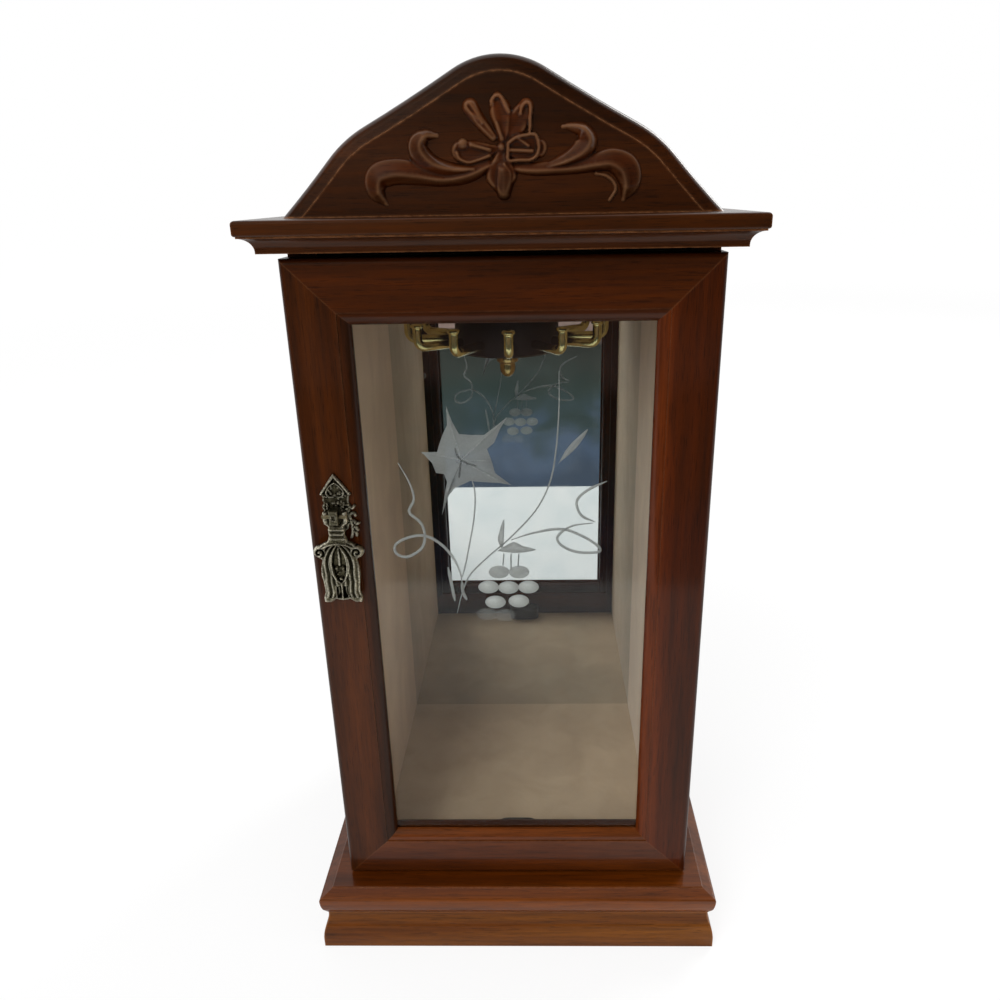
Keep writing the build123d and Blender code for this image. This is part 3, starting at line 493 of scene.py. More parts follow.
class Relief:
    """A height field over an upright drawing plane, in millimetres, built up from strokes and fields."""

    def __init__(self, low, high, step):
        columns, rows = (np.arange(a, b + step, step) for a, b in zip(low, high))
        self.x, self.z = np.meshgrid(columns, rows)
        self.step = step
        self.height = np.full(self.x.shape, EMPTY)

    def along(self, points, count=70):
        """Signed distance from a curve to each grid point, the curve's rows, and which of them is nearest."""
        rows = curve(points, count)
        best = np.full(self.x.shape, np.inf)
        side = np.zeros(self.x.shape)
        nearest = np.zeros(self.x.shape, dtype=int)
        tangents = np.gradient(rows[:, :2], axis=0)
        tangents /= np.linalg.norm(tangents, axis=1)[:, None]
        for k, (row, way) in enumerate(zip(rows, tangents)):
            dx, dz = self.x - row[0], self.z - row[1]
            distance = np.hypot(dx, dz)
            closer = distance < best
            best[closer] = distance[closer]
            side[closer] = (way[0] * dz - way[1] * dx)[closer]
            nearest[closer] = k
        return np.copysign(best, side), rows, nearest

    def stroke(self, points, rise, ridge=0.0, lip=0.5, power=1.0, wall=1.6):
        """A raised ribbon. Each point is x, z and half width. The ridge lies between -1 and 1 across it."""
        offset, rows, nearest = self.along(points)
        half = np.maximum(rows[:, 2][nearest], THINNEST)
        u = offset / half
        run = np.where(u < ridge, (u + 1) / (1 + ridge), (1 - u) / (1 - ridge))
        inside = np.clip(run, 0, 1) ** power
        outside = np.maximum(np.abs(offset) - half, 0) * wall
        taper = np.clip(half / np.max(rows[:, 2]) * 1.6, 0.35, 1)
        self.height = np.maximum(self.height, rise * taper * (lip + (1 - lip) * inside) - outside)

    def bead(self, points, width, rise, base=0.0):
        """A thin raised line with a round top."""
        offset, _, _ = self.along([(x, z, width) for x, z in points])
        u = np.abs(offset) / width
        round_top = base + (rise - base) * np.sqrt(np.clip(1 - u ** 2, 0, 1))
        self.height = np.where(u < 1, np.maximum(self.height, round_top), self.height)

    def dome(self, centre, radius, rise, stretch=1.0):
        """A round bump, drawn out upwards by the stretch."""
        r = np.hypot(self.x - centre[0], (self.z - centre[1]) / stretch) / radius
        bump = rise * np.sqrt(np.clip(1 - r ** 2, 0, 1))
        self.height = np.where(r < 1, np.maximum(self.height, bump), self.height)

    def inside(self, corners):
        """Distance to a closed outline, positive inside it."""
        count = len(corners)
        best = np.full(self.x.shape, np.inf)
        within = np.zeros(self.x.shape, dtype=bool)
        for k in range(count):
            (ax, az), (bx, bz) = corners[k], corners[(k + 1) % count]
            ex, ez = bx - ax, bz - az
            t = np.clip(((self.x - ax) * ex + (self.z - az) * ez) / (ex * ex + ez * ez + 1e-9), 0, 1)
            best = np.minimum(best, np.hypot(self.x - ax - t * ex, self.z - az - t * ez))
            crosses = (az > self.z) != (bz > self.z)
            meet = ax + (self.z - az) * ex / (ez if abs(ez) > 1e-9 else 1e-9)
            within ^= crosses & (self.x < meet)
        return np.where(within, best, -best)

    def piece(self, name, floor, back, spread, place, material, body, slot, replaced):
        """A closed mesh: the field in front, a flat back, and walls where the field ends."""
        shown = np.maximum(self.height, floor)
        cells = any_of_four(self.height > floor)
        framed = np.pad(cells, 1)
        used = any_of_four(framed)
        total = int(used.sum())
        index = np.zeros(used.shape, dtype=int)
        index[used] = np.arange(total)
        x, z, h = self.x[used] * MM, self.z[used] * MM, shown[used] * MM
        front = np.stack([place[0] + x, place[1] - h, place[2] + z], axis=1)
        rear = np.stack([place[0] + x, np.full_like(x, place[1] + back * MM), place[2] + z], axis=1)
        faces = []
        for i, j in np.argwhere(cells).tolist():
            a, b, c, d = (int(index[p, q]) for p, q in ((i, j), (i, j + 1), (i + 1, j + 1), (i + 1, j)))
            faces.append((a, b, c, d))
            faces.append((d + total, c + total, b + total, a + total))
            for p, q, start, end in ((i - 1, j, a, b), (i, j + 1, b, c), (i + 1, j, c, d), (i, j - 1, d, a)):
                if not framed[p + 1, q + 1]:
                    faces.append((end, start, start + total, end + total))
        # Crest and hollow masks: how far the relief stands above or below its blurred self. The carving lightens
        # crests for wear and painted highlight and darkens hollows as painted shade; the pewter lightens crests
        # for polish and painted highlight and darkens hollows as patina.
        relief = shown - blurred(shown, int(2 * (spread / self.step) ** 2))
        crest_wear_and_highlight = np.clip(relief / CREST_HEIGHT, 0, 1)[used]
        hollow_shade_and_patina = np.clip(-relief / HOLLOW_DEPTH, 0, DARKEST)[used]
        values = {"crest_wear_and_highlight": np.pad(crest_wear_and_highlight, (0, total)), "hollow_shade_and_patina": np.pad(hollow_shade_and_patina, (0, total))}
        add_piece(name, np.vstack([front, rear]), faces, material, body, slot, replaced, values)


# Carving on the pediment: X and Z are measured from the flower's middle, in millimetres. A row of a
# ribbon is x, z and half width. A row of PETALS is a ribbon and its rise; one of LINES has a width too.

FLOWER_HEIGHT = 330.0
CARVING_STAIN, CARVING_SEED = (0.92, 0.86, 0.74), 31
CARVING_STEP, CARVING_TOP = 0.28, 3.15
PETAL_FACE, LINE_SPREAD, LINE_RISE = 0.9, 1.5, 0.75
LEAF_LEFT = [(-4, -5.5, 1.6), (-11, -8, 2.4), (-19, -9.2, 2.2), (-28, -7.6, 3.2), (-35, -7, 3.6),
             (-40.5, -8.6, 3.7), (-41.4, -13, 2.7), (-38.4, -17.2, 0.5)]
CURL_LEFT = [(-9, -7.2, 1.5), (-16, -7.2, 2.2), (-22.5, -5.6, 2.9), (-26.3, -1.8, 2.9), (-26.6, 1.6, 2.7),
             (-24, 3.8, 1.5), (-20.6, 3.6, 0.6)]
STEM_RIGHT = [(4, -6.5, 1.2), (11, -6.9, 1.7), (18, -6.6, 1.9), (25, -6.2, 2.0), (31, -5.2, 2.4),
              (36.5, -4.6, 3.2), (41, -7, 3.9), (42.3, -11.6, 3.2), (40.6, -16.8, 0.6)]
SCROLL_RIGHT = [(14, -6.4, 0.8), (19, -5.2, 1.6), (23.4, -3.4, 2.2), (26.8, -1.2, 3.0), (28.3, 1.4, 2.8),
                (26.8, 4.4, 1.9), (23, 5.6, 1.0), (20.4, 5.6, 0.4)]
SECOND_RIDGE = [(31.3, -8.6), (34.7, -9.4), (37.2, -11.4), (37.8, -13.8), (36, -16.8)]
PETALS = [
    ([(-1.6, -0.6, 0.9), (-7, -1.5, 2.7), (-12.6, -1.2, 2.8)], 0.9),
    ([(-2.2, 3, 0.7), (-6.2, 7.4, 1.0), (-9.3, 11.9, 1.5)], 1.5),
    ([(1.8, 2.2, 0.9), (5.2, 6.6, 3.0), (8.7, 11.9, 1.7)], 0.9),
    ([(0.8, 1, 0.9), (0.9, 6, 2.0), (0.3, 11, 2.7), (-0.5, 14.6, 1.0)], 1.2),
    ([(2.4, -1, 1.6), (6.5, -0.6, 3.3), (10.5, -0.4, 3.6), (12.4, -0.6, 2.4)], 0.9),
    ([(0.6, -1.4, 1.2), (0.2, -8.6, 4.3), (0.3, -12.6, 2.2), (0.5, -14.6, 0.9)], 1.3),
]
PETAL_TONGUE = [(0.4, -5.8, 0.9), (1.1, -9.6, 2.0), (0.9, -14, 1.2)]
LINES = [
    ([(-2.3, 12.6), (-2.1, 14), (-0.6, 15), (0.9, 14.2), (2.2, 11.5), (3, 10.2)], 0.45, 3.1),
    ([(-0.9, 6.9), (0, 4.4), (0.7, 2.2)], 0.4, 2.6),
    ([(-6, 7.6), (-9.3, 10.2), (-10.6, 12.2), (-9.6, 13), (-8, 11), (-5.6, 7)], 0.4, 2.9),
    ([(6.8, 9.6), (7.3, 11.6), (8.8, 12.8), (10, 11.8), (9.9, 8), (9.7, 4.7)], 0.38, 2.7),
    ([(2.7, 1), (5.3, 2.6), (8.6, 3.3), (11.4, 3.4), (12.5, 0.8), (12.3, -2), (10.4, -4), (6.5, -4.2),
      (2.8, -4.2), (2.5, -1.8), (2.7, 1)], 0.42, 2.8),
    ([(2.7, -1.1), (10.4, -1.5)], 0.45, 2.6),
    ([(2.8, 0.8), (5.2, 2.3), (7, 1.6), (9.3, 0)], 0.3, 2.4),
    ([(-0.4, -6.4), (-0.8, -12.6), (0.5, -14.6), (2, -13.7), (3.2, -8.6), (1.2, -5.2)], 0.36, 3.0),
    ([(-9.4, 0.6), (-6.4, -0.2), (-3.4, -1)], 0.4, 2.7),
    ([(-14.2, -1.6), (-13.3, -3.5), (-10.8, -4.6), (-8.2, -4.2), (-3.6, -2.8)], 0.36, 2.3),
]


def make_carving():
    relief = Relief((-46, -19), (47, 17), CARVING_STEP)
    relief.stroke(STEM_RIGHT, 2.6, ridge=-0.45, lip=0.35, power=0.9)
    relief.stroke(LEAF_LEFT, 2.6, ridge=0.35, lip=0.3, power=0.9)
    relief.stroke(CURL_LEFT, 2.9, ridge=-0.3, lip=0.35, power=0.8)
    relief.stroke(SCROLL_RIGHT, 2.9, ridge=-0.35, lip=0.35, power=0.8)
    for petal, rise in PETALS:
        relief.stroke(petal, rise, lip=1.2)
    relief.stroke(PETAL_TONGUE, 2.6, lip=0.8, power=0.6)
    relief.dome((-12.1, 0.8), 1.9, 2.0)
    relief.dome((0.6, -0.2), 1.5, 1.5)
    for points, width, rise in LINES:
        relief.bead(points, LINE_SPREAD * width, LINE_RISE * rise, base=PETAL_FACE)
    relief.bead(SECOND_RIDGE, 0.6, 0.9, base=0.2)
    softened = blurred(relief.height.clip(0), 3).clip(0.01, CARVING_TOP)
    relief.height = np.where(relief.height < 0, relief.height, softened)
    place = (0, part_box("pediment_board")[0].y, FLOWER_HEIGHT * MM)
    material = wood("wood_carving", "X", CARVING_SEED, CARVING_STAIN, BRIGHTEST, carved=True)
    relief.piece("carved_flower", -0.35, 0.5, 0.9, place, material, "root", "dark_lacquered_wood",
                 "pediment_carving")


# Drop pull: X and Z are measured from its pivot, in millimetres. A half outline runs from top to bottom;
# a row of SPRAY is a stem's points and its width.

FOLIAGE_SEED, FOLIAGE_COUNT = 11, 95
PLATE_TOP, PENDANT_LOW = 15.4, 35.5  # the outer ends of the CAD's plate and pendant, from the pivot
PLATE_STEP, PENDANT_STEP, POST_STEP = 0.12, 0.13, 0.1
PLATE_FACE, PLATE_LIMIT = 0.95, 1.85
PLATE_BEAD_FOOT = 0.9
CAD_MARGIN = 0.02  # how far a cast piece stays inside the CAD's box
PLATE_HALF = [(0, 15.3), (2.4, 12.2), (5.9, 7.1), (4.9, 6.4), (4.6, 3.8), (5.4, 2.6), (4.9, 0.8), (5.5, -0.9),
              (4.9, -2.6), (5.1, -4), (3.9, -5.2), (3.7, -6.6), (2.4, -7.6), (1.2, -8.6), (0, -8.9)]
SPRAY = [([(4.0, 0.2), (4.9, -2.6), (5.3, -5.6), (5.2, -8.0), (4.6, -10.0)], 0.5),
         ([(4.9, -3.4), (5.9, -3.2), (6.8, -4.4), (7.7, -4.3)], 0.55),
         ([(5.2, -6.0), (6.4, -5.8), (7.1, -7.0)], 0.55), ([(5.3, -7.6), (6.3, -7.8), (6.6, -9.2)], 0.5),
         ([(4.9, 2.2), (5.9, 1.7), (6.6, 2.6)], 0.5), ([(4.9, -0.6), (6.1, -0.2), (6.8, -1.2)], 0.5)]
PENDANT_HALF = [(2.7, 1.4), (4.5, 1.5), (4.6, -0.6), (4.3, -3), (2.9, -4.2), (3.1, -6), (2.9, -7.4), (3.3, -9),
                (3.9, -10.2), (5.4, -11), (7.2, -11.9), (8.6, -13), (9.2, -14.4), (8.6, -15.9), (7.2, -16.4),
                (6.5, -17.8), (7.1, -21), (7.2, -24), (6.7, -28), (6.5, -31), (7.3, -33.6), (7.1, -35.4),
                (4.6, -35.4), (2.6, -34), (0, -34.6)]
PENDANT_FLANK = PENDANT_HALF[15:21]  # the side of the ribbed body
PENDANT_FORK = [(2.7, 1.4), (2.6, -2.4), (1.4, -3.7), (0, -3.9)]
PENDANT_FACE, PENDANT_ROUND = 1.1, 1.2
LENS_TOP, LENS_LOW, LENS_HALF, LENS_POWER, LENS_RIM = -11.4, -27.2, 3.6, 0.8, 0.72
RIBS_TOP, RIBS_TURN, RIBS_LOW = -11.5, -20, -33
RIB_PACE, RIB_RISE, FLANK_INSET = 3.4, 0.42, 3.3
SLOT_X, SLOT_Z, SLOT_SIZE = 1.25, -30.9, (0.85, 2.6)
VOLUTE, VOLUTE_RADIUS = (7.05, -14.3), 2.35


def both_sides(half):
    """A closed outline from its right half, listed from top to bottom."""
    return list(half) + [(-x, z) for x, z in reversed(half)]


def make_plate(material):
    low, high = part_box("pull_backplate")
    relief = Relief((-6.2, -10.2), (9.2, 15.5), PLATE_STEP)
    edge = relief.inside(both_sides(PLATE_HALF))
    relief.height = np.where(edge > 0, PLATE_FACE - 0.3 * np.clip(edge / 0.6 - 1, 0, 1), EMPTY)
    seeds = np.random.default_rng(FOLIAGE_SEED)
    for _ in range(FOLIAGE_COUNT):
        leaf = (seeds.uniform(-4.6, 4.6), seeds.uniform(-4.5, 11.5))
        relief.dome(leaf, seeds.uniform(0.45, 0.8), seeds.uniform(1.35, 1.75), seeds.uniform(0.7, 1.4))
    for sign in (-1, 1):
        roof = [(0, 14.6), (2.4 * sign, 11.6), (5.2 * sign, 7.8)]
        arch = [(0, 11.8), (1.9 * sign, 10.4), (3.2 * sign, 8.2), (2.4 * sign, 6.4), (0.8 * sign, 6.2)]
        relief.bead(roof, 0.75, 1.8, base=PLATE_BEAD_FOOT)
        relief.bead(arch, 0.35, 1.7, base=PLATE_BEAD_FOOT)
        relief.dome((5.1 * sign, 7.5), 0.8, 1.8)
        relief.dome((4.4 * sign, 3.0), 0.7, 1.7)
        relief.dome((4.5 * sign, -0.9), 0.6, 1.6)
    softened = np.where(edge > 0, blurred(relief.height.clip(0), 2), EMPTY)
    relief.height = np.minimum(softened, PLATE_LIMIT)
    for points, width in SPRAY:
        relief.bead(points, width, 1.7, base=0.8)
    place = ((low.x + high.x) / 2, high.y, high.z - PLATE_TOP * MM)
    relief.piece("cast_backplate", 0.05, 0.0, 0.45, place, material, "door", "antique_pewter", "pull_backplate")


def about_volute(relief, sign):
    """Distance and direction of each grid point from the middle of one volute."""
    across, up = sign * relief.x - VOLUTE[0], relief.z - VOLUTE[1]
    return np.hypot(across, up), np.arctan2(up, across)


def lens_and_ribs(relief):
    """Heights of the pendant's hollow lens, its rim and middle rib, and the ribs that flow round it."""
    middle, reach = (LENS_TOP + LENS_LOW) / 2, (LENS_TOP - LENS_LOW) / 2
    along = np.clip(1 - ((relief.z - middle) / reach) ** 2, 0, None)
    lens_half = LENS_HALF * along ** LENS_POWER
    lens = np.abs(relief.x) / (lens_half + THINNEST)
    heights, widths = zip(*[(z, x) for x, z in reversed(PENDANT_FLANK)])
    side = np.interp(relief.z, heights, widths)
    lower = np.clip((RIBS_TURN - relief.z) / 6, 0, 1)
    from_line = np.abs(relief.x) - (1 - lower) * lens_half - lower * (side - FLANK_INSET)
    body = (relief.z < RIBS_TOP) & (relief.z > RIBS_LOW) & (lens > 1)
    height = np.where(body, RIB_RISE * np.cos(from_line * RIB_PACE) - 0.1, 0)
    height -= np.where((lens < LENS_RIM) & (along > 0), 1.3, 0)
    height += np.where((lens >= LENS_RIM) & (lens < 1.05) & (along > 0), 0.6, 0)
    return height + np.where((np.abs(relief.x) < 0.5 * along) & (relief.z > -19.5) & (along > 0), 1.1, 0)


def make_pendant(material):
    low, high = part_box("pull_pendant")
    relief = Relief((-9.5, -35.6), (9.5, 1.7), PENDANT_STEP)
    edge = np.minimum(relief.inside(both_sides(PENDANT_HALF)), -relief.inside(both_sides(PENDANT_FORK)))
    for sign in (-1, 1):
        edge = np.maximum(edge, VOLUTE_RADIUS - about_volute(relief, sign)[0])
    relief.height = PENDANT_FACE + PENDANT_ROUND * np.sqrt(np.clip(edge / 0.9, 0, 1)) + lens_and_ribs(relief)
    for column in (-SLOT_X, SLOT_X):
        slot_edge = np.maximum(np.abs(relief.x - column) - SLOT_SIZE[0], np.abs(relief.z - SLOT_Z) - SLOT_SIZE[1])
        relief.height -= 1.7 * np.clip(0.5 - slot_edge / 0.25, 0, 1)
    neck = (relief.z > -9.4) & (relief.z < -4.6)
    relief.height += np.where(neck, 0.35 * np.cos((relief.z + 7) * RIB_PACE), 0)
    for sign in (-1, 1):
        r, turn = about_volute(relief, sign)
        spiral = 2.6 + 0.7 * np.cos(r * 4.0 - turn)
        relief.height = np.where(r < VOLUTE_RADIUS, spiral * np.clip(1.2 - r / 5, 0, 1), relief.height)
        relief.bead([(0.2 * sign, -10.6), (3 * sign, -11.2), (5.8 * sign, -12.4)], 0.45, 3.0)
        relief.dome((1.2 * sign, -20.8), 0.8, 2.6)
    relief.dome((0, -25.2), 0.8, 2.5)
    for k in range(9):
        relief.dome((1.7 * math.sin(2.4 * k), -19.6 - 0.75 * k), 0.5, 2.2)
    limit = (high.y - low.y) / MM - CAD_MARGIN
    relief.height = np.where(edge > 0, np.minimum(blurred(relief.height, 2), limit), EMPTY)
    place = ((low.x + high.x) / 2, high.y, low.z + PENDANT_LOW * MM)
    relief.piece("cast_pendant", 0.05, 0.0, 0.5, place, material, "pull", "antique_pewter", "pull_pendant")


def make_post(material):
    """The square boss that holds the pendant's pin, with a small square recess in its face."""
    low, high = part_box("pull_post")
    depth = (high.y - low.y) / MM
    half_width, half_height = (high.x - low.x) / 2 / MM, (high.z - low.z) / 2 / MM
    relief = Relief((0.05 - half_width, 0.05 - half_height), (half_width - 0.1, half_height - 0.1), POST_STEP)
    edge = np.minimum(half_width - np.abs(relief.x), half_height - np.abs(relief.z))
    relief.height = depth - CAD_MARGIN - 0.45 * (1 - np.sqrt(np.clip(edge / 0.5, 0, 1)))
    recess = np.maximum(np.abs(relief.x) / 0.7, np.abs(relief.z - 0.1) / 0.95)
    relief.height -= 0.6 * np.clip((1 - recess) / 0.25, 0, 1)
    place = ((low.x + high.x) / 2, high.y, (low.z + high.z) / 2)
    relief.piece("cast_post", 0.05, 0.0, 0.35, place, material, "door", "antique_pewter", "pull_post")


def make_pull():
    material = metal("sculpted_pewter", (116, 110, 86), 0.25, sculpted=True)
    make_plate(material)
    make_pendant(material)
    make_post(material)


# Carousel: bent brass hooks with flared heads and a knurled acorn nut. A row of a turned outline is radius
# and height, in millimetres.

HOOK_COUNT = 12
FIRST_HOOK_ANGLE = -87.0
HOOK_RADIUS, HOOK_SIDES = 1.85, 24
HOOK_SEAT, HOOK_REACH, HOOK_ARM_HEIGHT = 2.0, 41.7, 5.1
HOOK_BEND, BEND_STEPS = 3.4, 8
HOOK_HEAD = [(1.85, 0.0), (1.86, 0.5), (1.95, 0.9), (2.3, 1.25), (2.6, 1.45), (2.62, 1.8), (2.55, 2.2),
             (2.25, 2.5), (1.6, 2.72), (0.6, 2.8)]
FINIAL = [(2.2, 0.0), (3.3, -0.05), (3.3, -1.3), (4.2, -1.45), (4.6, -1.8), (4.6, -3.4), (4.6, -5.0), (4.1, -5.4),
          (3.5, -5.6), (3.4, -6.4), (3.4, -7.6), (3.25, -8.8), (2.95, -9.8), (2.45, -10.7), (1.8, -11.4),
          (1.1, -11.85), (0.4, -12.1)]
FINIAL_SIDES = 72
KNURL_TOP, KNURL_LOW, KNURL_DEPTH = 1.9, 4.9, 0.3


def ring_along(centre, way, side, radius, sides):
    """A ring of points round one point of a path; side is level and square to the path."""
    other = way.cross(side)
    return [(centre + radius * (math.cos(2 * math.pi * k / sides) * side
                                + math.sin(2 * math.pi * k / sides) * other)) * MM for k in range(sides)]


def hook_rings(axis, out, start, arm_height, top):
    """The wire runs out level, bends up through a quarter circle and ends in the flared head."""
    up = Vector((0, 0, 1))
    side = up.cross(out)
    base = Vector((axis[0], axis[1], arm_height))
    stations = [(base + out * start, out, HOOK_RADIUS)]
    for k in range(BEND_STEPS + 1):
        angle = math.radians(90) * k / BEND_STEPS
        bend = (base + out * (HOOK_REACH - HOOK_BEND + HOOK_BEND * math.sin(angle))
                + up * HOOK_BEND * (1 - math.cos(angle)))
        stations.append((bend, out * math.cos(angle) + up * math.sin(angle), HOOK_RADIUS))
    foot = top - HOOK_HEAD[-1][1]
    for radius, height in HOOK_HEAD:
        stations.append((base + out * HOOK_REACH + up * (foot + height - arm_height), up, radius))
    return [ring_along(centre, way, side, radius, HOOK_SIDES) for centre, way, radius in stations]


def make_carousel():
    brass = metal("brass", (216, 204, 142), 0.17)
    low, high = box_mm("carousel_disc")
    axis = ((low.x + high.x) / 2, (low.y + high.y) / 2)
    disc_radius = (high.x - low.x) / 2
    top = box_mm("carousel_hook_01")[1].z
    for index in range(HOOK_COUNT):
        angle = math.radians(FIRST_HOOK_ANGLE) + 2 * math.pi * index / HOOK_COUNT
        out = Vector((math.cos(angle), math.sin(angle), 0))
        rings = hook_rings(axis, out, disc_radius - HOOK_SEAT, low.z + HOOK_ARM_HEIGHT, top)
        name = f"hook_{index + 1:02d}"
        add_piece(name, *rings_mesh(rings), brass, "carousel", "brass_hardware", "carousel_" + name)
    top = box_mm("carousel_finial")[1].z
    knurl = (top - KNURL_LOW, top - KNURL_TOP, KNURL_DEPTH)
    rings = lathe([(r, top + h) for r, h in FINIAL], axis, FINIAL_SIDES, knurl)
    # The acorn nut's brass is darker than the hooks' as painted shade
    brass_in_painted_shade = metal("brass_in_painted_shade", (172, 150, 98), 0.19)
    add_piece("acorn_nut", *rings_mesh(rings[::-1]), brass_in_painted_shade, "root", "brass_hardware", "carousel_finial")


# Etched grape-vine on the door's glass, as pixels of the photograph. A row of VINE is a line's points, its
# half width, frost and shade.

VINE = [
    ([(470, 474), (475, 493), (474, 518), (470, 542), (465, 567), (461, 581)], 0.75, 0.75, 0.6),
    ([(559, 371), (559, 408), (556, 450), (550, 482), (536, 510), (511, 537), (489, 556), (470, 575), (462, 594),
      (457, 614)], 0.8, 0.8, 0.6),
    ([(398, 463), (409, 482), (414, 499), (409, 512), (421, 523), (425, 537), (421, 549), (407, 557), (396, 553),
      (396, 544), (410, 537), (426, 536), (442, 545), (454, 559), (461, 575), (462, 588)], 1.4, 0.7, 0.7),
    ([(511, 540), (533, 533), (561, 529), (582, 536), (598, 546), (598, 552), (577, 552), (561, 545), (558, 536),
      (572, 526), (593, 523)], 1.35, 0.72, 0.62),
    ([(607, 481), (588, 490), (577, 501), (581, 515), (595, 522)], 1.35, 0.72, 0.62),
    ([(448, 567), (452, 586), (455, 601)], 1.6, 0.6, 0.75),
    ([(462, 581), (463, 592), (467, 600)], 1.6, 0.6, 0.75),
    ([(504, 553), (503, 566)], 0.7, 0.8, 0.5),
    ([(511, 553), (511, 571)], 0.7, 0.8, 0.5),
    ([(519, 553), (518, 567)], 0.7, 0.8, 0.5),
]
LEAF = [(446, 406), (452, 422), (459, 434), (472, 435), (484, 435), (496, 426), (507, 417), (500, 429), (494, 443),
        (487, 449), (492, 462), (495, 473), (511, 485), (500, 483), (481, 482), (470, 481), (455, 488), (444, 501),
        (442, 515), (445, 493), (447, 482), (444, 474), (436, 473), (432, 463), (421, 452), (437, 452), (439, 445),
        (442, 436), (447, 425)]
LEAF_MIDDLE = (461, 460)
LEAF_VEINS = [(446, 410), (503, 421), (426, 453), (443, 508), (505, 484), (488, 461)]
LEAF_FOLDS = [[(457, 455), (455, 448)], [(469, 464), (477, 466)], [(460, 470), (459, 478)]]
LEAFLET = [(558, 464), (569, 446), (588, 429), (577, 447)]
BUD = [(500, 547), (498, 537), (504, 519), (504, 537), (503, 547)]
CALYX = [(497, 551), (505, 546), (514, 542), (523, 546), (536, 550), (516, 553)]
UPPER_GRAPES = [(499, 572), (519, 572)]
GRAPES = [(488.6, 587), (508.6, 587.5), (528.6, 587), (495.5, 602), (518.8, 601)]
FAINT_GRAPES = [(487, 614), (505, 615)]
GRAPE_SIZE = (10.3, 6.4)
GRAPE_SIDES, GRAPE_SHINE, GRAPE_RIM = 28, (-2, -2.4), 0.66
GLASS_LIFT = 0.03 * MM
ETCH_THICKNESS = 0.02 * MM


class Etching:
    """Thin closed shapes lying on the glass, joined into one piece with a frost value for each point."""

    def __init__(self, glass_y):
        self.y = glass_y - GLASS_LIFT
        self.points, self.faces, self.frost, self.shade = [], [], [], []

    def add(self, pixel, layer, frost, shade):
        self.points.append(on_plane(pixel, self.y - layer * ETCH_THICKNESS))
        self.frost.append(frost)
        self.shade.append(shade)

    def ribbon(self, pixels, half, frost, shade, count=48):
        """A line that narrows towards its ends."""
        rows = curve(pixels, count)
        ways = np.gradient(rows, axis=0)
        ways /= np.linalg.norm(ways, axis=1)[:, None] + 1e-9
        start = len(self.points)
        for k, (row, way) in enumerate(zip(rows, ways)):
            width = half * min(1.0, 0.35 + 4.0 * min(k, count - 1 - k) / count)
            for side, layer in ((-1, 0), (1, 0), (1, 1), (-1, 1)):
                self.add((row[0] - side * width * way[1], row[1] + side * width * way[0]), layer, frost, shade)
        for k in range(count - 1):
            for a in range(4):
                b = (a + 1) % 4
                low, high = start + 4 * k, start + 4 * k + 4
                self.faces.append((low + a, high + a, high + b, low + b))
        last = start + 4 * (count - 1)
        self.faces.append((start, start + 1, start + 2, start + 3))
        self.faces.append((last + 3, last + 2, last + 1, last))

    def patch(self, middle, outline, inner, outer, shade):
        """A filled shape round a middle point, with its own frost in the middle and at its edge."""
        back, count = len(self.points), len(outline)
        front = back + count + 1
        for layer in (0, 1):
            self.add(middle, layer, inner, shade)
            for pixel in outline:
                self.add(pixel, layer, outer, shade)
        for k in range(count):
            a, b = 1 + k, 1 + (k + 1) % count
            self.faces.append((front, front + a, front + b))
            self.faces.append((back, back + b, back + a))
            self.faces.append((back + a, back + b, front + b, front + a))

    def lens(self, corners, inner, outer, shade):
        """A filled shape whose outline runs smoothly through its corners."""
        closed = curve(corners + corners[:1], 4 * len(corners) + 1)[:-1]
        self.patch(np.mean(closed, axis=0), closed, inner, outer, shade)

    def grape(self, centre, frost, shade):
        """A filled berry with a clearer rim, lighter towards its top left."""
        ring = [(centre[0] + GRAPE_SIZE[0] * math.cos(a), centre[1] + GRAPE_SIZE[1] * math.sin(a))
                for a in np.linspace(0, 2 * math.pi, GRAPE_SIDES + 1)[:-1]]
        bright = (centre[0] + GRAPE_SHINE[0], centre[1] + GRAPE_SHINE[1])
        self.patch(bright, ring, frost, frost * GRAPE_RIM, shade)


def make_etching():
    etching = Etching(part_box("door_glass")[0].y)
    for pixels, half, frost, shade in VINE:
        etching.ribbon(pixels, half, frost, shade)
    etching.patch(LEAF_MIDDLE, LEAF, 0.42, 0.68, 0.62)
    for tip in LEAF_VEINS:
        etching.ribbon([LEAF_MIDDLE, tip], 0.8, 0.55, 0.9)
    for fold in LEAF_FOLDS:
        etching.ribbon([LEAF_MIDDLE, *fold], 0.9, 0.75, 0.12)
    for corners in (LEAFLET, BUD, CALYX):
        etching.lens(corners, 0.55, 0.75, 0.62)
    for centres, frost, shade in ((UPPER_GRAPES, 0.9, 0.72), (GRAPES, 0.95, 1.0), (FAINT_GRAPES, 0.16, 0.9)):
        for centre in centres:
            etching.grape(centre, frost, shade)
    add_piece("etched_vine", etching.points, etching.faces, frosted("etched_frost"), "door", "etched_glass",
              values={"frost": etching.frost, "shade": etching.shade})


# Screws: countersunk heads with a slot, flush with what they hold, in millimetres.

SCREW_SIDES = 20
SCREW_SLOT, SLOT_DEPTH = 0.28, 0.45
SCREW_TURN = 0.7
BACK_SCREW_INSET, BACK_SCREW_ROWS = 6.0, 4
HINGE_LENGTH, LEAF_GAP = 25.0, 0.5
HINGE_SCREW_INSET, HINGE_SCREW_SHIFT = 4.0, 8.0


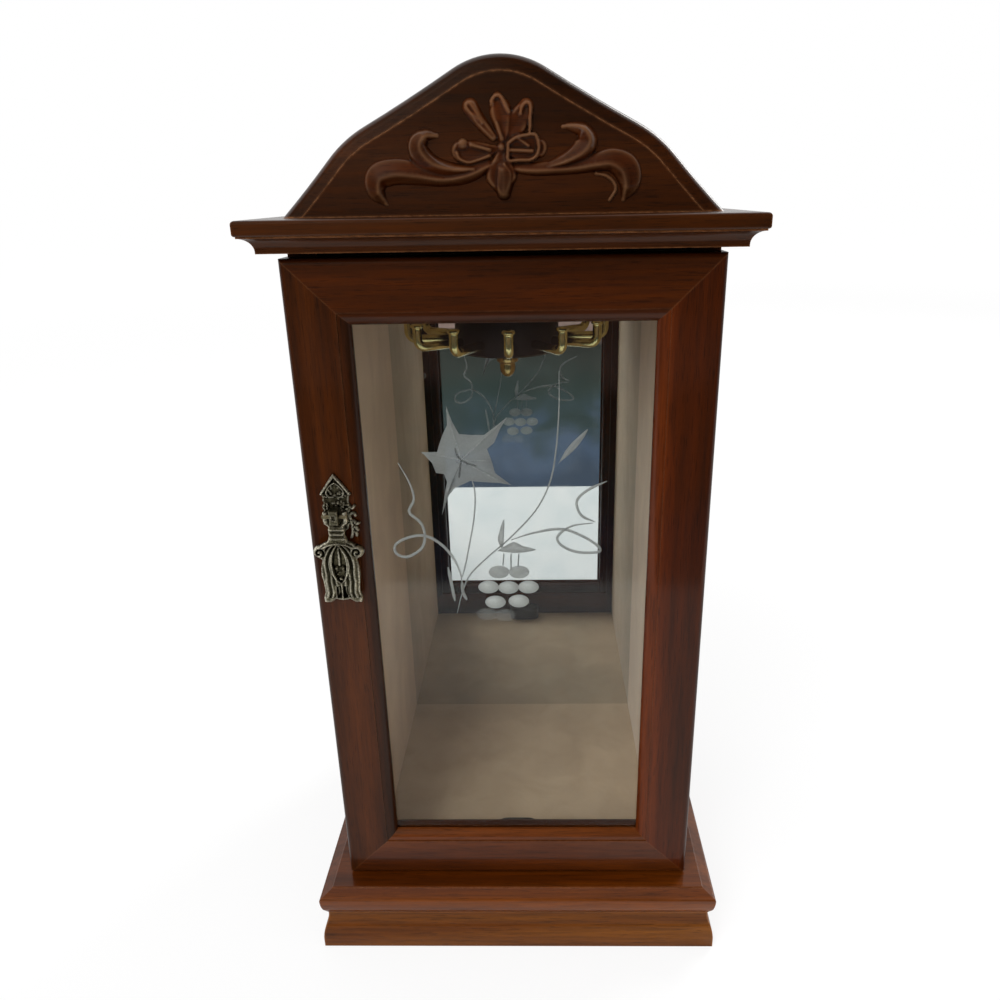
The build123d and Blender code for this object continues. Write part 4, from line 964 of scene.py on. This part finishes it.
def screw_head(at, facing, radius, turn, proud):
    """Points and faces of one slotted head that faces along Y; at is its centre on the surface."""
    normal, side = Vector((0, facing, 0)), Vector((0, 0, 1))
    u = side * math.cos(turn) + normal.cross(side) * math.sin(turn)
    v = normal.cross(u)
    rings = []
    for scale, height in ((1.0, -0.4), (1.0, proud * 0.5), (0.86, proud), (0.4, proud), (0.05, proud)):
        ring = []
        for k in range(SCREW_SIDES):
            angle = 2 * math.pi * (k + 0.5) / SCREW_SIDES
            x, y = radius * scale * math.cos(angle), radius * scale * math.sin(angle)
            painted_shade = SLOT_DEPTH if abs(y) < SCREW_SLOT and height == proud else 0.0
            ring.append((Vector(at) + u * x + v * y + normal * (height - painted_shade)) * MM)
        rings.append(ring)
    return rings_mesh(rings)


def add_screws(name, places, facing, radius, material, body, slot, proud=0.25):
    points, faces = [], []
    for k, at in enumerate(places):
        head_points, head_faces = screw_head(at, facing, radius, SCREW_TURN * k, proud)
        faces += [tuple(len(points) + i for i in face) for face in head_faces]
        points += head_points
    add_piece(name, points, faces, material, body, slot)


def make_screws():
    steel = metal("screw_steel", (150, 150, 148), 0.35)
    low, high = box_mm("case_back")
    lowest, run = low.z + BACK_SCREW_INSET, high.z - low.z - 2 * BACK_SCREW_INSET
    heights = [lowest + run * k / (BACK_SCREW_ROWS - 1) for k in range(BACK_SCREW_ROWS)]
    places = [(x, high.y, z) for z in heights for x in (low.x + BACK_SCREW_INSET, high.x - BACK_SCREW_INSET)]
    places += [(0, high.y, heights[0]), (0, high.y, heights[-1])]
    add_screws("back_screws", places, 1, 2.6, steel, "root", "zinc_steel")

    post_low, post_high = box_mm("pull_post")
    middle = (post_low + post_high) / 2
    stile_back = box_mm("door_stile_left")[1].y
    add_screws("pull_screw", [(middle.x, stile_back, middle.z)], 1, 2.4, steel, "door", "zinc_steel")

    brass = metal("screw_brass", (190, 164, 98), 0.32)
    leaf_low, leaf_high = box_mm("hinge_case_leaves")
    pin_y = sum(corner.y for corner in box_mm("hinge_pins")) / 2
    centres = (leaf_low.z + HINGE_LENGTH / 2, leaf_high.z - HINGE_LENGTH / 2)
    for name, facing, body in (("case", -1, "root"), ("door", 1, "door")):
        places = [(leaf_low.x + HINGE_SCREW_INSET, pin_y - facing * LEAF_GAP / 2, centre + shift)
                  for centre in centres for shift in (-HINGE_SCREW_SHIFT, HINGE_SCREW_SHIFT)]
        add_screws("hinge_screws_" + name, places, facing, 1.5, brass, body, "brass_hardware", 0.1)


# Set: a pale floor, a white world, lamps, and a card in front that only the mirror and gloss see

WORLD_LIGHT = 0.6
FLOOR_SIZE, FLOOR_DROP = 24, 0.2 * MM
FLOOR_PALE, FLOOR_SHADED = (0.86, 0.86, 0.855, 1), (0.2, 0.2, 0.2, 1)
# The floor's glow to the camera: distance from the cabinet in units of 3 m, and strength
FLOOR_UNIT = 0.33
FLOOR_GLOW = ((0.1, 0.805), (1.0, 0.88))
CARD_Y = -0.402
CARD_SIZE = (6, 3)
CARD_CLOUDS = (16, 22, 16)
# How far the clouds shift the bands, and the bands' colours, by height above the floor in metres
CARD_SHIFT = ((0.11, 0.16), (0.15, 0.05))
CARD_BANDS = ((0.0, (84, 94, 110)), (0.045, (92, 106, 128)), (0.085, (74, 86, 88)), (0.125, (66, 76, 72)),
              (0.168, (54, 58, 54)), (0.186, (168, 140, 130)), (0.205, (150, 124, 116)), (0.24, (54, 50, 48)))
# Each lamp's name, size and place in metres, the point it faces, and its power in watts
LAMPS = (("key", (1.2, 1.2), (-0.9, -1.1, 1.7), (0, 0, 0.15), 16),
         ("rim", (0.5, 0.9), (0.95, 0.95, 1.25), (0, 0, 0.3), 12),
         ("front", (0.5, 0.5), (-0.45, -1.1, 0.75), (0, 0, 0.12), 4.6))


def make_world():
    """White to the camera and in gloss and glass, and dimmer as the light on the object."""
    net = Net("world", world=True)
    path = net.add("LightPath").outputs
    strength = WORLD_LIGHT
    for ray in ("Camera", "Glossy", "Transmission"):
        strength = net.math("MAXIMUM", path[f"Is {ray} Ray"], strength)
    bpy.context.scene.world = net.finish(net.made("Background", Color=WHITE, Strength=strength))


def plane(name, size, at, turn=(0, 0, 0)):
    mesh = bpy.data.meshes.new(name)
    x, y = size[0] / 2, size[1] / 2
    mesh.from_pydata([(-x, -y, 0), (x, -y, 0), (x, y, 0), (-x, y, 0)], [], [(0, 1, 2, 3)])
    obj = placed(name, mesh)
    obj.location = at
    obj.rotation_euler = turn
    return obj


def make_floor():
    """A pale floor. Seen directly, it keeps a soft shadow and meets the white without a step."""
    floor = plane("floor", (FLOOR_SIZE, FLOOR_SIZE), (0, 0, -FLOOR_DROP))
    net = Net("floor")
    distance = net.add("VectorMath", operation="LENGTH")
    net.put(distance.inputs[0], net.coords(FLOOR_UNIT))
    glow = net.made("Emission", Color=WHITE, Strength=net.ramp(distance.outputs["Value"], *FLOOR_GLOW))
    seen = net.join("AddShader", net.made("BsdfDiffuse", Color=FLOOR_SHADED), glow)
    pale = net.made("BsdfDiffuse", Color=FLOOR_PALE)
    is_camera = net.add("LightPath").outputs["Is Camera Ray"]
    floor.data.materials.append(net.finish(net.join("MixShader", is_camera, pale, seen)))


def make_card():
    """A dim room on a card in front of the cabinet, seen only in the mirror and the gloss."""
    card = plane("room_card", CARD_SIZE, (0, CARD_Y, CARD_SIZE[1] / 2), (math.radians(90), 0, 0))
    card.visible_camera = card.visible_diffuse = card.visible_shadow = False
    net = Net("room_card")
    above_floor = net.place("Y", (0, CARD_SIZE[1] / 2, 0))
    cloud = net.math("SUBTRACT", net.noise(CARD_CLOUDS, 3, 0.5, 0.5), 0.5)
    level = net.math("ADD", above_floor, net.math("MULTIPLY", cloud, net.ramp(above_floor, *CARD_SHIFT)))
    card.data.materials.append(net.finish(net.made("Emission", Color=net.ramp(level, *CARD_BANDS))))


def add_lamp(name, size, at, aim, power):
    data = bpy.data.lights.new(name, "AREA")
    data.shape = "RECTANGLE"
    data.size, data.size_y = size
    data.energy = power
    lamp = placed(name, data)
    lamp.location = at
    lamp.rotation_euler = (Vector(aim) - Vector(at)).to_track_quat("-Z", "Y").to_euler()


make_camera()
dress_all()
make_carving()
make_pull()
make_carousel()
make_etching()
make_screws()
make_world()
make_floor()
make_card()
for row in LAMPS:
    add_lamp(*row)
bpy.context.scene.view_settings.view_transform = "Standard"
